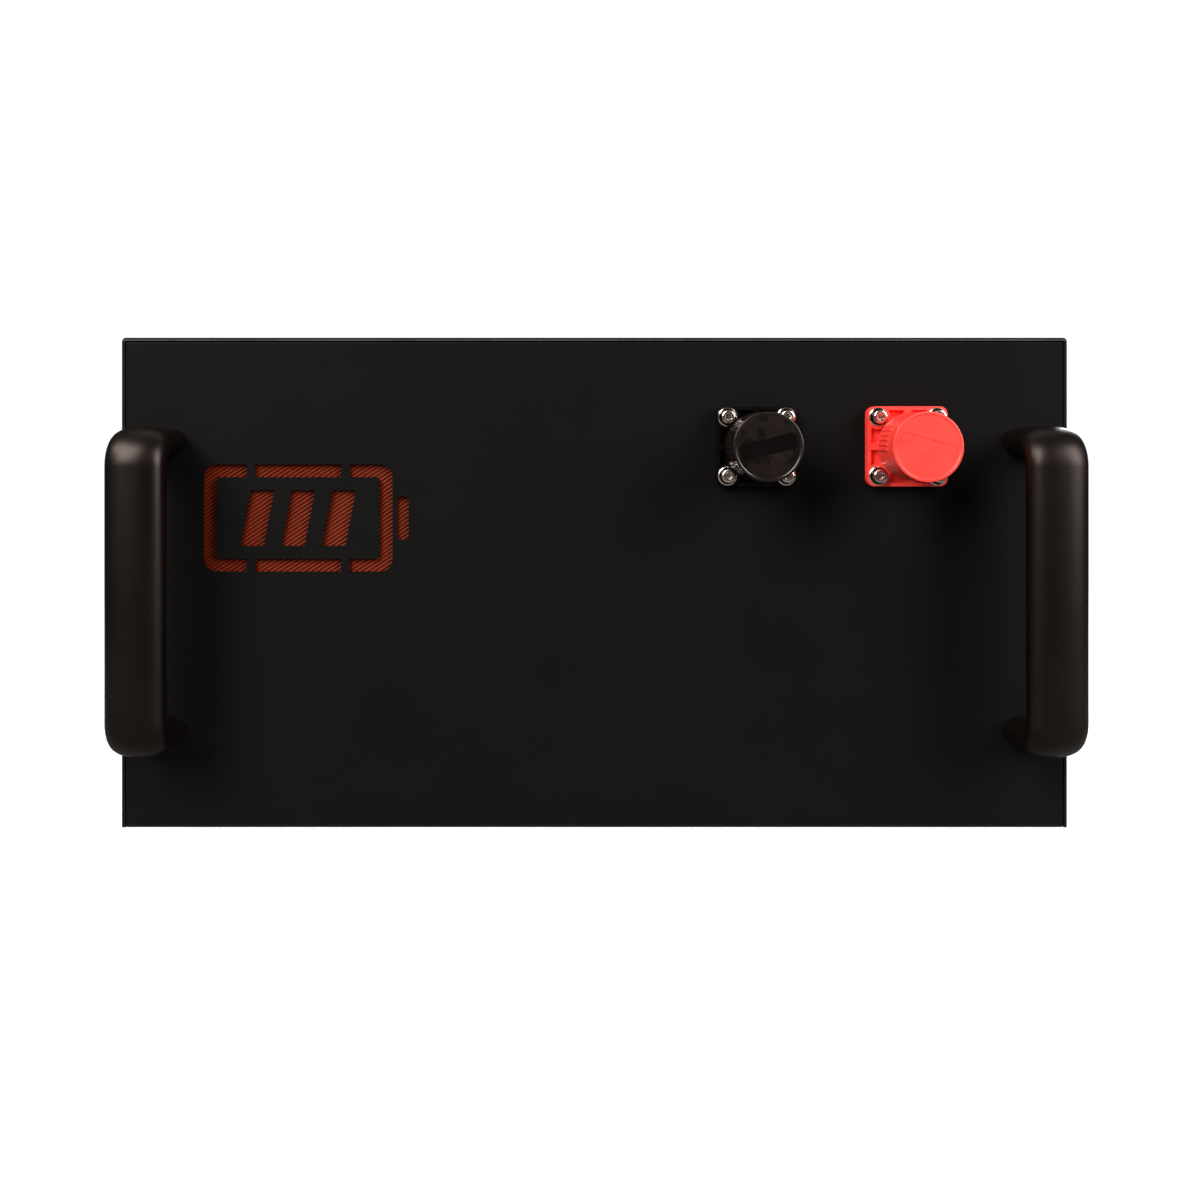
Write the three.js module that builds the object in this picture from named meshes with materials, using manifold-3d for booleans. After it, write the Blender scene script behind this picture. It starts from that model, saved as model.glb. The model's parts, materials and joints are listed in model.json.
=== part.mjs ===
// Front-terminal battery pack in a folded sheet-steel case. Millimetres, +Z up, the front faces -Y,
// and the origin is at the centre of the case's underside.
import * as THREE from "three";
import { mergeVertices } from "three/addons/utils/BufferGeometryUtils.js";
import Module from "manifold-3d";

const wasm = await Module();
wasm.setup();

// Case
const caseWidth = 440;
const caseDepth = 380;
const caseHeight = 228;
const sheet = 1.5;
const innerBend = 0.5;
const lipDepth = 12;
const fitGap = 0.3;
const seatGap = 0.1;
const coverScrewInset = 6.5;
const coverScrewFromTop = 46;
const coverScrewAlong = 130;
const coverScrewHead = 3.6;
const coverScrewHeight = 2.2;

// Badge cut-out and the plate behind it
const badgeFromLeft = 82;
const badgeFromTop = 84;
const badgeWidth = 88;
const badgeHeight = 50;
const badgeStroke = 6;
const badgeBridge = 4;
const badgeNubWidth = 5.5;
const badgeNubHeight = 20;
const chargeBarWidth = 11;
const chargeBarPitch = 19;
const chargeBarSlant = 5;
const chargeBarCount = 3;
const backingMargin = 8;
const backingThickness = 1.2;

// Handles
const handleFromSide = 17;
const handleLength = 148.6;
const handleDrop = 1.7;
const handleHalfWidth = 13.4;
const gripCrown = 7;
const gripBack = 7.5;
const gripFullness = 2.5;
const gripReach = 31;
const handleBend = 11;
const handleScrewRadius = 2.5;
const handleScrewDepth = 15;
const handleScrewHead = 4.6;
const handleScrewHeight = 3;

// Terminals
const redFromSide = 75.6;
const terminalSpacing = 69.6;
const terminalFromTop = 50.6;
const barrelRadius = 12.6;
const barrelReach = 20;
const collarExtra = 0.9;
const collarHeight = 5;
const flangeThickness = 5;
const flangeInset = 5.4;
const flangeCorner = 3.5;
const flangeRim = 1.7;
const pocketDepth = 3.2;
const pocketWeb = 3.2;
const collarTuck = 0.5;
const bossRadius = 5.6;
const washerRadius = 4.5;
const washerThickness = 0.8;
const springWasherExtra = 0.3;
const springWasherThickness = 1;
const washerGap = 1.2;
const screwRadius = 2;
const screwHoleRadius = 2.3;
const screwHeadRadius = 3.4;
const screwHeadHeight = 3.1;
const screwChamfer = 0.5;
const socketRadius = 1.7;
const socketDepth = 2.3;
const spigotRadius = 11;
const spigotLength = 9;
const studRadius = 4;
const studReach = 32;
const studBack = 23;
const studChamfer = 0.5;
const contactRadius = 8.5;
const contactThickness = 2;
const nutAcross = 13;
const nutHeight = 6;

// Caps and their seals
const capGap = 1.1;
const capWall = 1.8;
const capFloor = 2;
const capReach = 38;
const capLift = 11.5;
const capRim = 1.3;
const capRimHeight = 0.5;
const capBarWidth = 7;
const capBarDepth = 0.5;
const capBarInset = 1;
const capBarCorner = 1.5;
const sealGroove = 1;
const sealWidth = 2;
const ribCount = 6;
const ribPitchDeg = 8.2;
const ribStart = 2.5;
const ribEnd = 9.5;
const ribHeight = 0.5;
const ribWidth = 1.1;
const blackCapTurnDeg = 14;
const redCapTurnDeg = -16;

// Cell block
const cellsDeep = 4;
const cellGap = 0.8;
const frontBay = 71;
const bmsBay = 79;
const rearGap = 3;
const sideGap = 2;
const floorPad = 2;
const spaceOverCells = 22.8;
const endPlate = 4;
const strapThickness = 1;
const strapWidth = 16;
const lowerStrapShare = 0.2;
const upperStrapShare = 0.7;
const postRadius = 8;
const postHeight = 3;
const postInset = 26;
const busbarThickness = 2;
const busbarWidth = 22;
const busbarCornerLoss = 0.5;
const topSheetGap = 5.5;
const topSheetThickness = 1;

// Battery management module and cables
const bmsThickness = 32;
const bmsLength = 200;
const bmsHeight = 126;
const bmsClearance = 8;
const bmsInletHeight = 94.5;
const bmsOutletHeight = 37.8;
const finCount = 7;
const finDepth = 8;
const finSlotStart = 0.3;
const finSlotShare = 0.55;
const cableRadius = 5;
const lugWidth = 18;
const lugThickness = 2.5;
const lugLength = 24;
const lugOverlap = 6;
const crimpSink = 1;

// How far a cutter runs past what it cuts, and how finely round pieces are divided
const overcut = 1;
const holeSides = 8;
const screwSides = 12;
const seatSides = 24;
const capSides = 36;
const cornerSteps = 3;
const handleBendSteps = 5;
const gripSides = 20;
const cableSteps = 16;

// Places that several pieces share
const frontY = -caseDepth / 2;
const rearY = caseDepth / 2;
const bendRadius = sheet + innerBend;
const panWidth = caseWidth - 2 * (sheet + fitGap);
const panHeight = caseHeight - sheet - fitGap;
const panInnerX = panWidth / 2 - sheet;
const badgeX = -caseWidth / 2 + badgeFromLeft;
const badgeZ = caseHeight - badgeFromTop;
const handleX = caseWidth / 2 - handleFromSide;
const handleZ = caseHeight / 2 - handleDrop;
const legOffset = handleLength / 2 - gripCrown;
const footCentre = legOffset + (gripCrown - gripBack) / 2;
const redX = caseWidth / 2 - redFromSide;
const blackX = redX - terminalSpacing;
const terminalZ = caseHeight - terminalFromTop;
const collarRadius = barrelRadius + collarExtra;
const screwOffset = (collarRadius + washerGap + washerRadius) / Math.SQRT2;
const flangeHalf = screwOffset + flangeInset;
const capInner = barrelRadius + capGap;
const capRadius = capInner + capWall;
const sealLift = (capLift + barrelReach) / 2;
const lugSeat = -spigotLength - sheet - fitGap - lugThickness / 2;

const frontScrewY = frontY + coverScrewInset;
const coverScrewPlaces = [
  { name: "front", y: frontScrewY, z: caseHeight - coverScrewFromTop },
  { name: "rear", y: -frontScrewY, z: caseHeight - coverScrewFromTop },
  { name: "lower_front", y: -coverScrewAlong, z: coverScrewInset + sheet },
  { name: "lower_rear", y: coverScrewAlong, z: coverScrewInset + sheet },
];
const fourCorners = [
  { name: "top_left", x: -1, z: 1 },
  { name: "top_right", x: 1, z: 1 },
  { name: "bottom_left", x: -1, z: -1 },
  { name: "bottom_right", x: 1, z: -1 },
];

// Solids: a closed geometry becomes a solid that can be joined and cut, and a solid becomes a geometry.
function solidOf(geometry) {
  const bare = geometry.clone();
  bare.deleteAttribute("normal");
  bare.deleteAttribute("uv");
  const merged = mergeVertices(bare, 1e-4);
  return new wasm.Manifold(
    new wasm.Mesh({
      numProp: 3,
      vertProperties: merged.attributes.position.array,
      triVerts: new Uint32Array(merged.index.array),
    }),
  );
}

function geometryOf(solid) {
  const mesh = solid.getMesh();
  const geometry = new THREE.BufferGeometry();
  geometry.setAttribute("position", new THREE.BufferAttribute(mesh.vertProperties, mesh.numProp));
  geometry.setIndex(new THREE.BufferAttribute(mesh.triVerts, 1));
  geometry.computeVertexNormals();
  return geometry;
}

function joined(first, ...others) {
  return others.reduce((sum, solid) => sum.add(solid), first);
}

function cut(body, ...tools) {
  return tools.reduce((rest, tool) => rest.subtract(tool), body);
}

function between(a, b) {
  return [Math.min(a, b), Math.max(a, b)];
}

function block(x0, x1, y0, y1, z0, z1) {
  const geometry = new THREE.BoxGeometry(x1 - x0, y1 - y0, z1 - z0);
  geometry.translate((x0 + x1) / 2, (y0 + y1) / 2, (z0 + z1) / 2);
  return solidOf(geometry);
}

// A round bar along local z.
function bar(radius, z0, z1, sides, x = 0, y = 0) {
  const geometry = new THREE.CylinderGeometry(radius, radius, z1 - z0, sides);
  geometry.rotateX(Math.PI / 2);
  geometry.translate(x, y, (z0 + z1) / 2);
  return solidOf(geometry);
}

// A solid of revolution about local z, from [radius, z] points.
function turned(points, sides) {
  const profile = points.map(([radius, z]) => new THREE.Vector2(radius, z));
  const geometry = new THREE.LatheGeometry(profile, sides);
  geometry.rotateX(Math.PI / 2);
  return solidOf(geometry);
}

// A shape in the xy plane, pulled up from z0 to z1.
function raised(shape, z0, z1, curveSegments = 2) {
  const options = { depth: z1 - z0, bevelEnabled: false, curveSegments };
  const geometry = new THREE.ExtrudeGeometry(shape, options);
  geometry.translate(0, 0, z0);
  return solidOf(geometry);
}

function roundedRectangle(x0, x1, y0, y1, radius) {
  const shape = new THREE.Shape();
  shape.moveTo(x0 + radius, y0);
  shape.absarc(x1 - radius, y0 + radius, radius, -Math.PI / 2, 0);
  shape.absarc(x1 - radius, y1 - radius, radius, 0, Math.PI / 2);
  shape.absarc(x0 + radius, y1 - radius, radius, Math.PI / 2, Math.PI);
  shape.absarc(x0 + radius, y0 + radius, radius, Math.PI, 1.5 * Math.PI);
  return shape;
}

function polygon(points) {
  return new THREE.Shape(points.map(([x, y]) => new THREE.Vector2(x, y)));
}

// A front-facing frame at the panel: local x is right, local y is up, and local z is out of the panel.
function atPanel(solid, x, z) {
  return solid.rotate([90, 0, 0]).translate([x, frontY, z]);
}

// A sheet folded to a U that opens towards local y and runs along local z, with rounded bends.
function foldedChannel(width, height, length) {
  const half = width / 2;
  const outer = roundedRectangle(-half, half, 0, height + 2 * bendRadius, bendRadius);
  const inner = roundedRectangle(sheet - half, half - sheet, sheet, height + 3 * bendRadius, innerBend);
  const whole = cut(raised(outer, 0, length), raised(inner, -overcut, length + overcut));
  const room = block(-width, width, -overcut, height, -overcut, length + overcut);
  return whole.intersect(room);
}

// Base pan: bottom, front and rear in one folded sheet, with lips along the open edges. The sheet and its
// lips are made oversize and trimmed together, so that their outer faces are one face.
function basePan() {
  const over = overcut;
  const channel = foldedChannel(caseDepth, panHeight + over, panWidth + 2 * over);
  const folded = channel.rotate([90, 0, 90]).translate([-panWidth / 2 - over, 0, 0]);
  const lips = [];
  for (const side of [-1, 1]) {
    const [x0, x1] = between(side * panInnerX, side * (panWidth / 2 + over));
    lips.push(block(x0, x1, frontY + sheet / 2, frontY + lipDepth, sheet / 2, panHeight + over));
    lips.push(block(x0, x1, rearY - lipDepth, rearY - sheet / 2, sheet / 2, panHeight + over));
    lips.push(block(x0, x1, frontY + sheet / 2, rearY - sheet / 2, sheet / 2, lipDepth + sheet));
    const [y0, y1] = between(side * (rearY - sheet / 2), side * (rearY - lipDepth));
    const half = panInnerX - lipDepth;
    lips.push(block(-half, half, y0, y1, panHeight - sheet, panHeight + over));
  }
  const room = block(-panWidth / 2, panWidth / 2, 2 * frontY, 2 * rearY, -over, panHeight);
  const pan = joined(folded, ...lips).intersect(room);

  const tools = [badgeCutter()];
  for (const x of [blackX, redX]) {
    tools.push(atPanel(bar(spigotRadius + fitGap, -3 * sheet, sheet, seatSides), x, terminalZ));
    for (const corner of fourCorners) {
      const centre = [corner.x * screwOffset, corner.z * screwOffset];
      const hole = bar(screwHoleRadius, -3 * sheet, sheet, holeSides, ...centre);
      tools.push(atPanel(hole, x, terminalZ));
    }
  }
  for (const corner of fourCorners) {
    const hole = bar(handleScrewRadius + fitGap, -3 * sheet, sheet, holeSides);
    tools.push(atPanel(hole, corner.x * handleX, handleZ + corner.z * footCentre));
    tools.push(cornerRound(corner.x, corner.z));
  }
  tools.push(...coverScrewHoles(screwHoleRadius));
  return cut(pan, ...tools);
}

// What rounds one of the pan's upright edges: made for the front left one, mirrored for the others.
function cornerRound(sideX, sideY) {
  const points = [[-overcut, -overcut], [bendRadius, -overcut]];
  for (let i = 0; i <= cornerSteps; i++) {
    const angle = (i / cornerSteps) * (Math.PI / 2);
    points.push([bendRadius * (1 - Math.sin(angle)), bendRadius * (1 - Math.cos(angle))]);
  }
  points.push([-overcut, bendRadius]);
  const tool = raised(polygon(points), -overcut, caseHeight);
  return tool.scale([-sideX, -sideY, 1]).translate([sideX * (panWidth / 2), sideY * rearY, 0]);
}

function coverScrewHoles(radius) {
  const holes = [];
  for (const { y, z } of coverScrewPlaces) {
    for (const side of [-1, 1]) {
      const middle = side * (caseWidth / 2 - lipDepth / 2);
      const hole = bar(radius, -lipDepth, lipDepth, holeSides).rotate([0, 90, 0]);
      holes.push(hole.translate([middle, y, z]));
    }
  }
  return holes;
}

// The cut-out: a battery outline held by bridges, its nub, and slanted charge bars.
function badgeCutter() {
  const [w, h] = [badgeWidth / 2, badgeHeight / 2];
  const [back, front] = [-2 * sheet, sheet];
  const outline = raised(roundedRectangle(-w, w, -h, h, badgeStroke), back, front);
  const inside = [badgeStroke - w, w - badgeStroke, badgeStroke - h, h - badgeStroke];
  const island = raised(roundedRectangle(...inside, badgeStroke / 3), 2 * back, 2 * front);
  const bridges = [];
  for (const x of [-w / 2, w / 2]) {
    bridges.push(block(x - badgeBridge / 2, x + badgeBridge / 2, -2 * h, 2 * h, 2 * back, 2 * front));
  }
  const nubStart = w + badgeBridge / 2;
  const nubShape = [nubStart, nubStart + badgeNubWidth, -badgeNubHeight / 2, badgeNubHeight / 2];
  const nub = raised(roundedRectangle(...nubShape, badgeNubWidth / 4), back, front);
  const barHalf = h - 2 * badgeStroke;
  const bars = [];
  for (let i = 0; i < chargeBarCount; i++) {
    const x = (i - (chargeBarCount - 1) / 2) * chargeBarPitch - chargeBarWidth / 2;
    const slanted = polygon([
      [x - chargeBarSlant / 2, -barHalf],
      [x + chargeBarWidth - chargeBarSlant / 2, -barHalf],
      [x + chargeBarWidth + chargeBarSlant / 2, barHalf],
      [x + chargeBarSlant / 2, barHalf],
    ]);
    bars.push(raised(slanted, back, front));
  }
  return atPanel(joined(cut(outline, island, ...bridges), nub, ...bars), badgeX, badgeZ);
}

function badgeBacking() {
  const [w, h] = [badgeWidth / 2 + backingMargin, badgeHeight / 2 + backingMargin];
  const right = w + badgeBridge / 2 + badgeNubWidth;
  const plate = roundedRectangle(-w, right, -h, h, backingMargin / 2);
  const behind = -sheet - fitGap;
  return atPanel(raised(plate, behind - backingThickness, behind), badgeX, badgeZ);
}

// Cover: top and both sides in one folded sheet.
function cover() {
  const channel = foldedChannel(caseWidth, caseHeight, caseDepth);
  const folded = channel.rotate([-90, 0, 0]).translate([0, frontY, caseHeight]);
  return cut(folded, ...coverScrewHoles(screwHoleRadius));
}

// A pan-head screw along local z, its head above z = 0, with a recess as deep as the head's rounded part.
function panScrew(radius, length, headRadius, headHeight) {
  const shoulder = headHeight / 2;
  const profile = [
    [0, -length],
    [radius, -length],
    [radius, 0],
    [headRadius, 0],
    [headRadius, shoulder],
    [headRadius - headHeight / 3, headHeight],
    [0, headHeight],
  ];
  const recess = bar(radius / Math.SQRT2, shoulder, 2 * headHeight, 6);
  return cut(turned(profile, screwSides), recess);
}

function coverScrew(side, place) {
  const screw = panScrew(screwRadius, lipDepth / 2, coverScrewHead, coverScrewHeight);
  return screw.rotate([0, side * 90, 0]).translate([side * (caseWidth / 2 + seatGap), place.y, place.z]);
}

// The line of a bridge handle: up one leg, round a bend, along the grip and down the other leg. Only its
// bends are divided, and a straight run is one step.
class HandleLine extends THREE.Curve {
  constructor() {
    super();
    const points = [new THREE.Vector3(0, -seatGap, -legOffset)];
    for (const side of [-1, 1]) {
      for (let i = 0; i <= handleBendSteps; i++) {
        const turn = (i / handleBendSteps) * (Math.PI / 2);
        const angle = side < 0 ? turn : Math.PI / 2 - turn;
        const y = handleBend - gripReach - handleBend * Math.sin(angle);
        const z = side * (legOffset - handleBend + handleBend * Math.cos(angle));
        points.push(new THREE.Vector3(0, y, z));
      }
    }
    points.push(new THREE.Vector3(0, -seatGap, legOffset));
    this.points = points;
  }

  getPoint(t) {
    const place = t * (this.points.length - 1);
    const index = Math.min(Math.floor(place), this.points.length - 2);
    return this.points[index].clone().lerp(this.points[index + 1], place - index);
  }

  getPointAt(u) {
    return this.getPoint(u);
  }

  // The direction halfway between the runs that meet at a point.
  getTangentAt(u) {
    const last = this.points.length - 1;
    const index = Math.round(u * last);
    const ends = [this.points[Math.max(index - 1, 0)], this.points[Math.min(index + 1, last)]];
    const runs = [];
    if (index > 0) runs.push(this.points[index].clone().sub(ends[0]).normalize());
    if (index < last) runs.push(ends[1].clone().sub(this.points[index]).normalize());
    return runs.reduce((sum, run) => sum.add(run)).normalize();
  }
}

// The grip's section: a superellipse with its own depth outwards and inwards, x outwards and y across.
function gripSection() {
  const filled = (value) => Math.sign(value) * Math.abs(value) ** (2 / gripFullness);
  const points = [];
  for (let i = 0; i < gripSides; i++) {
    const angle = (i / gripSides) * 2 * Math.PI;
    const outward = filled(Math.cos(angle));
    const depth = outward > 0 ? gripCrown : gripBack;
    points.push([depth * outward, handleHalfWidth * filled(Math.sin(angle))]);
  }
  return polygon(points);
}

function handle(side) {
  const line = new HandleLine();
  const options = { steps: line.points.length - 1, extrudePath: line };
  const grip = solidOf(new THREE.ExtrudeGeometry(gripSection(), options));
  const holes = [];
  for (const end of [-1, 1]) {
    const hole = bar(handleScrewRadius + fitGap, -overcut, handleScrewDepth + fitGap, holeSides);
    holes.push(hole.rotate([90, 0, 0]).translate([0, 0, end * footCentre]));
  }
  return cut(grip, ...holes).translate([side * handleX, frontY, handleZ]);
}

function handleScrew(corner) {
  const length = sheet + handleScrewDepth;
  const screw = panScrew(handleScrewRadius, length, handleScrewHead, handleScrewHeight);
  const seated = screw.rotate([180, 0, 0]).translate([0, 0, -sheet - seatGap]);
  return atPanel(seated, corner.x * handleX, handleZ + corner.z * footCentre);
}

// Terminal base, in the panel's frame: a square flange with pockets, a round barrel, and a spigot behind.
function terminalBase() {
  const plan = roundedRectangle(-flangeHalf, flangeHalf, -flangeHalf, flangeHalf, flangeCorner);
  const flange = raised(plan, seatGap, flangeThickness);
  const inside = flangeHalf - flangeRim;
  const pocketFloor = flangeThickness - pocketDepth;
  const pocketTop = flangeThickness + overcut;
  let pockets = block(-inside, inside, -inside, inside, pocketFloor, pocketTop);
  pockets = cut(pockets, bar(collarRadius - collarTuck, 0, 2 * pocketTop, seatSides));
  pockets = cut(pockets, block(-pocketWeb / 2, pocketWeb / 2, -flangeHalf, flangeHalf, 0, 2 * pocketTop));
  pockets = cut(pockets, block(-flangeHalf, flangeHalf, -pocketWeb / 2, pocketWeb / 2, 0, 2 * pocketTop));
  for (const corner of fourCorners) {
    const centre = [corner.x * screwOffset, corner.z * screwOffset];
    pockets = cut(pockets, bar(bossRadius, 0, 2 * pocketTop, screwSides, ...centre));
  }
  const grooveHalf = sealWidth / 2 + fitGap;
  const barrel = turned([
    [0, -spigotLength - sheet],
    [spigotRadius, -spigotLength - sheet],
    [spigotRadius, 2 * seatGap],
    [collarRadius, 2 * seatGap],
    [collarRadius, flangeThickness + collarHeight],
    [barrelRadius, flangeThickness + collarHeight],
    [barrelRadius, sealLift - grooveHalf],
    [barrelRadius - sealGroove, sealLift - grooveHalf],
    [barrelRadius - sealGroove, sealLift + grooveHalf],
    [barrelRadius, sealLift + grooveHalf],
    [barrelRadius, barrelReach],
    [0, barrelReach],
  ], seatSides);
  let base = joined(cut(flange, pockets), barrel);
  base = cut(base, bar(studRadius + fitGap, -studBack, studReach, screwSides));
  for (const corner of fourCorners) {
    const centre = [corner.x * screwOffset, corner.z * screwOffset];
    base = cut(base, bar(screwHoleRadius, -overcut, 2 * flangeThickness, holeSides, ...centre));
  }
  return base;
}

function terminalStud() {
  const contactTop = barrelReach + contactThickness;
  return turned([
    [0, -studBack],
    [studRadius - studChamfer, -studBack],
    [studRadius, -studBack + studChamfer],
    [studRadius, barrelReach + seatGap],
    [contactRadius, barrelReach + seatGap],
    [contactRadius, contactTop],
    [studRadius, contactTop],
    [studRadius, studReach - studChamfer],
    [studRadius - studChamfer, studReach],
    [0, studReach],
  ], screwSides);
}

function studNut() {
  const top = lugSeat - lugThickness / 2 - seatGap;
  const hexagon = bar(nutAcross / Math.sqrt(3), top - nutHeight, top, 6);
  return cut(hexagon, bar(studRadius + fitGap, top - 2 * nutHeight, top + overcut, screwSides));
}

// A screw with a plain and a spring washer held under its socket head.
function terminalScrew(corner) {
  const seat = flangeThickness + seatGap;
  const washerTop = seat + washerThickness;
  const springTop = washerTop + springWasherThickness;
  const top = springTop + screwHeadHeight;
  const springRadius = screwHeadRadius + springWasherExtra;
  const profile = [
    [0, -3 * sheet],
    [screwRadius, -3 * sheet],
    [screwRadius, seat],
    [washerRadius, seat],
    [washerRadius, washerTop],
    [springRadius, washerTop],
    [springRadius, springTop],
    [screwHeadRadius, springTop],
    [screwHeadRadius, top - screwChamfer],
    [screwHeadRadius - screwChamfer, top],
    [0, top],
  ];
  const socket = bar(socketRadius, top - socketDepth, top + overcut, 6);
  const screw = cut(turned(profile, screwSides), socket);
  return screw.translate([corner.x * screwOffset, corner.z * screwOffset, 0]);
}

function capSeal() {
  const [z0, z1] = [sealLift - sealWidth / 2, sealLift + sealWidth / 2];
  const inner = barrelRadius - sealGroove + fitGap;
  const outer = capInner - fitGap;
  const whole = bar(outer, z0, z1, seatSides);
  return cut(whole, bar(inner, z0 - overcut, z1 + overcut, seatSides));
}

// Cap: a cup over the barrel, with a rim and a shallow bar across its face and ribs on two sides.
function terminalCap() {
  const rimInner = capRadius - capRim;
  let cap = turned([
    [0, capReach - capFloor],
    [capInner, capReach - capFloor],
    [capInner, capLift],
    [capRadius, capLift],
    [capRadius, capReach - capRimHeight],
    [capRadius - capRimHeight, capReach],
    [rimInner, capReach],
    [rimInner - capRimHeight / 2, capReach - capRimHeight],
    [0, capReach - capRimHeight],
  ], capSides);
  const barLength = rimInner - capBarInset;
  const barHalf = capBarWidth / 2;
  const barPlan = roundedRectangle(-barLength, barLength, -barHalf, barHalf, capBarCorner);
  const barFloor = capReach - capRimHeight - capBarDepth;
  const barRoom = bar(barLength, barFloor, capReach + overcut, capSides);
  cap = cut(cap, raised(barPlan, barFloor, capReach + overcut).intersect(barRoom));
  for (const side of [0, 180]) {
    for (let i = 0; i < ribCount; i++) {
      const angle = side + (i - (ribCount - 1) / 2) * ribPitchDeg;
      const [low, high] = [capLift + ribStart, capReach - ribEnd];
      const root = capRadius - capWall / 2;
      const rib = block(root, capRadius + ribHeight, -ribWidth / 2, ribWidth / 2, low, high);
      cap = cap.add(rib.rotate([0, 0, angle]));
    }
  }
  return cap;
}

// Cell block: two columns of cells, each a few deep, between end plates and straps.
const strapRoom = strapThickness + fitGap;
const blockRight = panInnerX - sideGap - strapRoom;
const blockLeft = -panInnerX + bmsBay + strapRoom;
const blockFront = frontY + sheet + frontBay + strapRoom;
const blockRear = rearY - sheet - rearGap - strapRoom;
const cellWidth = (blockRight - blockLeft - cellGap) / 2;
const cellsRun = blockRear - blockFront - 2 * (endPlate + cellGap);
const cellThickness = (cellsRun - (cellsDeep - 1) * cellGap) / cellsDeep;
const cellBottom = sheet + floorPad + fitGap;
const cellTop = panHeight - spaceOverCells;
const cellHeight = cellTop - cellBottom;
const postTop = cellTop + postHeight;
const columnX = [blockLeft + cellWidth / 2, blockRight - cellWidth / 2];

function cellY(row) {
  return blockFront + endPlate + cellGap + cellThickness / 2 + row * (cellThickness + cellGap);
}

function postX(column, end) {
  return columnX[column] + end * (cellWidth / 2 - postInset);
}

function cell(column, row) {
  const [x, y] = [columnX[column], cellY(row)];
  const [halfWidth, half] = [cellWidth / 2, cellThickness / 2];
  const can = block(x - halfWidth, x + halfWidth, y - half, y + half, cellBottom, cellTop);
  const posts = [-1, 1].map((end) => {
    return bar(postRadius, cellTop - overcut, postTop, screwSides, postX(column, end), y);
  });
  return joined(can, ...posts);
}

// A link between two posts, as a flat bar with rounded ends.
function busbar(x0, y0, x1, y1) {
  const half = busbarWidth / 2;
  const [left, right] = between(x0, x1);
  const [front, rear] = between(y0, y1);
  const corner = half - busbarCornerLoss;
  const plan = roundedRectangle(left - half, right + half, front - half, rear + half, corner);
  const low = postTop + seatGap;
  return raised(plan, low, low + busbarThickness);
}

function endPlateSolid(y) {
  return block(blockLeft, blockRight, y, y + endPlate, cellBottom, cellTop - postHeight);
}

function strap(z) {
  const inside = [blockLeft - fitGap, blockRight + fitGap, blockFront - fitGap, blockRear + fitGap];
  const outside = inside.map((value, i) => value + (i % 2 ? strapThickness : -strapThickness));
  const outer = raised(roundedRectangle(...outside, strapThickness), z, z + strapWidth);
  return cut(outer, block(...inside, z - overcut, z + strapWidth + overcut));
}

// The module stands on the floor beside the cells, with its fins towards the case's side.
const bmsRight = -panInnerX + bmsBay - bmsClearance;
const bmsLeft = bmsRight - bmsThickness;
const bmsMiddleX = (bmsLeft + finDepth + bmsRight) / 2;
const bmsFrontY = blockFront + endPlate;

function bmsModule() {
  const rear = bmsFrontY + bmsLength;
  const low = sheet + seatGap;
  let body = block(bmsLeft, bmsRight, bmsFrontY, rear, low, low + bmsHeight);
  const pitch = bmsHeight / finCount;
  for (let i = 0; i < finCount; i++) {
    const z = low + (i + finSlotStart) * pitch;
    const slot = [bmsLeft - overcut, bmsLeft + finDepth, bmsFrontY - overcut, rear + overcut];
    body = cut(body, block(...slot, z, z + finSlotShare * pitch));
  }
  return body;
}

// A cable along a smooth line, with flat lugs joined to it where it is bolted on.
function cable(points, ...lugs) {
  const line = new THREE.CatmullRomCurve3(points.map(([x, y, z]) => new THREE.Vector3(x, y, z)));
  const section = new THREE.Shape();
  section.absarc(0, 0, cableRadius, 0, 2 * Math.PI);
  const options = { steps: cableSteps, extrudePath: line, curveSegments: 4 };
  return joined(solidOf(new THREE.ExtrudeGeometry(section, options)), ...lugs);
}

// A lug on a cell's post, whose tongue points to the front.
function postLug(x, y) {
  const half = lugWidth / 2;
  const [low, high] = [postTop + seatGap, postTop + seatGap + lugThickness];
  return block(x - half, x + half, y - lugLength, y + half, low, high);
}

// A lug on a terminal's stud, whose tongue points up or down.
function studLug(x, direction) {
  const half = lugWidth / 2;
  const [low, high] = between(-direction * half, direction * lugLength);
  const tongue = block(-half, half, low, high, lugSeat - lugThickness / 2, lugSeat + lugThickness / 2);
  const hole = bar(studRadius + fitGap, lugSeat - lugThickness, lugSeat + lugThickness, screwSides);
  return atPanel(cut(tongue, hole), x, terminalZ);
}

const lugY = frontY - lugSeat;
const bayY = blockFront - frontBay / 2;
const cableRise = cableRadius + lugThickness / 2 - crimpSink;
const cableOverPost = postTop + seatGap + cableRise;

function positiveCable() {
  const [x, y] = [postX(1, -1), cellY(0)];
  const points = [
    [x, y - lugLength + lugOverlap, cableOverPost],
    [x, blockFront, cableOverPost],
    [(x + redX) / 2, bayY + cableRadius, cableOverPost],
    [redX, lugY + cableRise, (cableOverPost + terminalZ + lugLength) / 2],
    [redX, lugY + cableRise, terminalZ + lugLength - lugOverlap],
  ];
  return cable(points, postLug(x, y), studLug(redX, 1));
}

function negativeCable() {
  const [x, y] = [postX(0, 1), cellY(0)];
  const high = sheet + bmsInletHeight;
  const points = [
    [x, y - lugLength + lugOverlap, cableOverPost],
    [x, blockFront, cableOverPost],
    [x - 2 * lugLength, bayY, (cableOverPost + terminalZ) / 2],
    [(x + bmsMiddleX) / 2, bayY, (terminalZ + high) / 2],
    [bmsMiddleX, bayY, high],
    [bmsMiddleX, bmsFrontY - fitGap, high],
  ];
  return cable(points, postLug(x, y));
}

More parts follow.
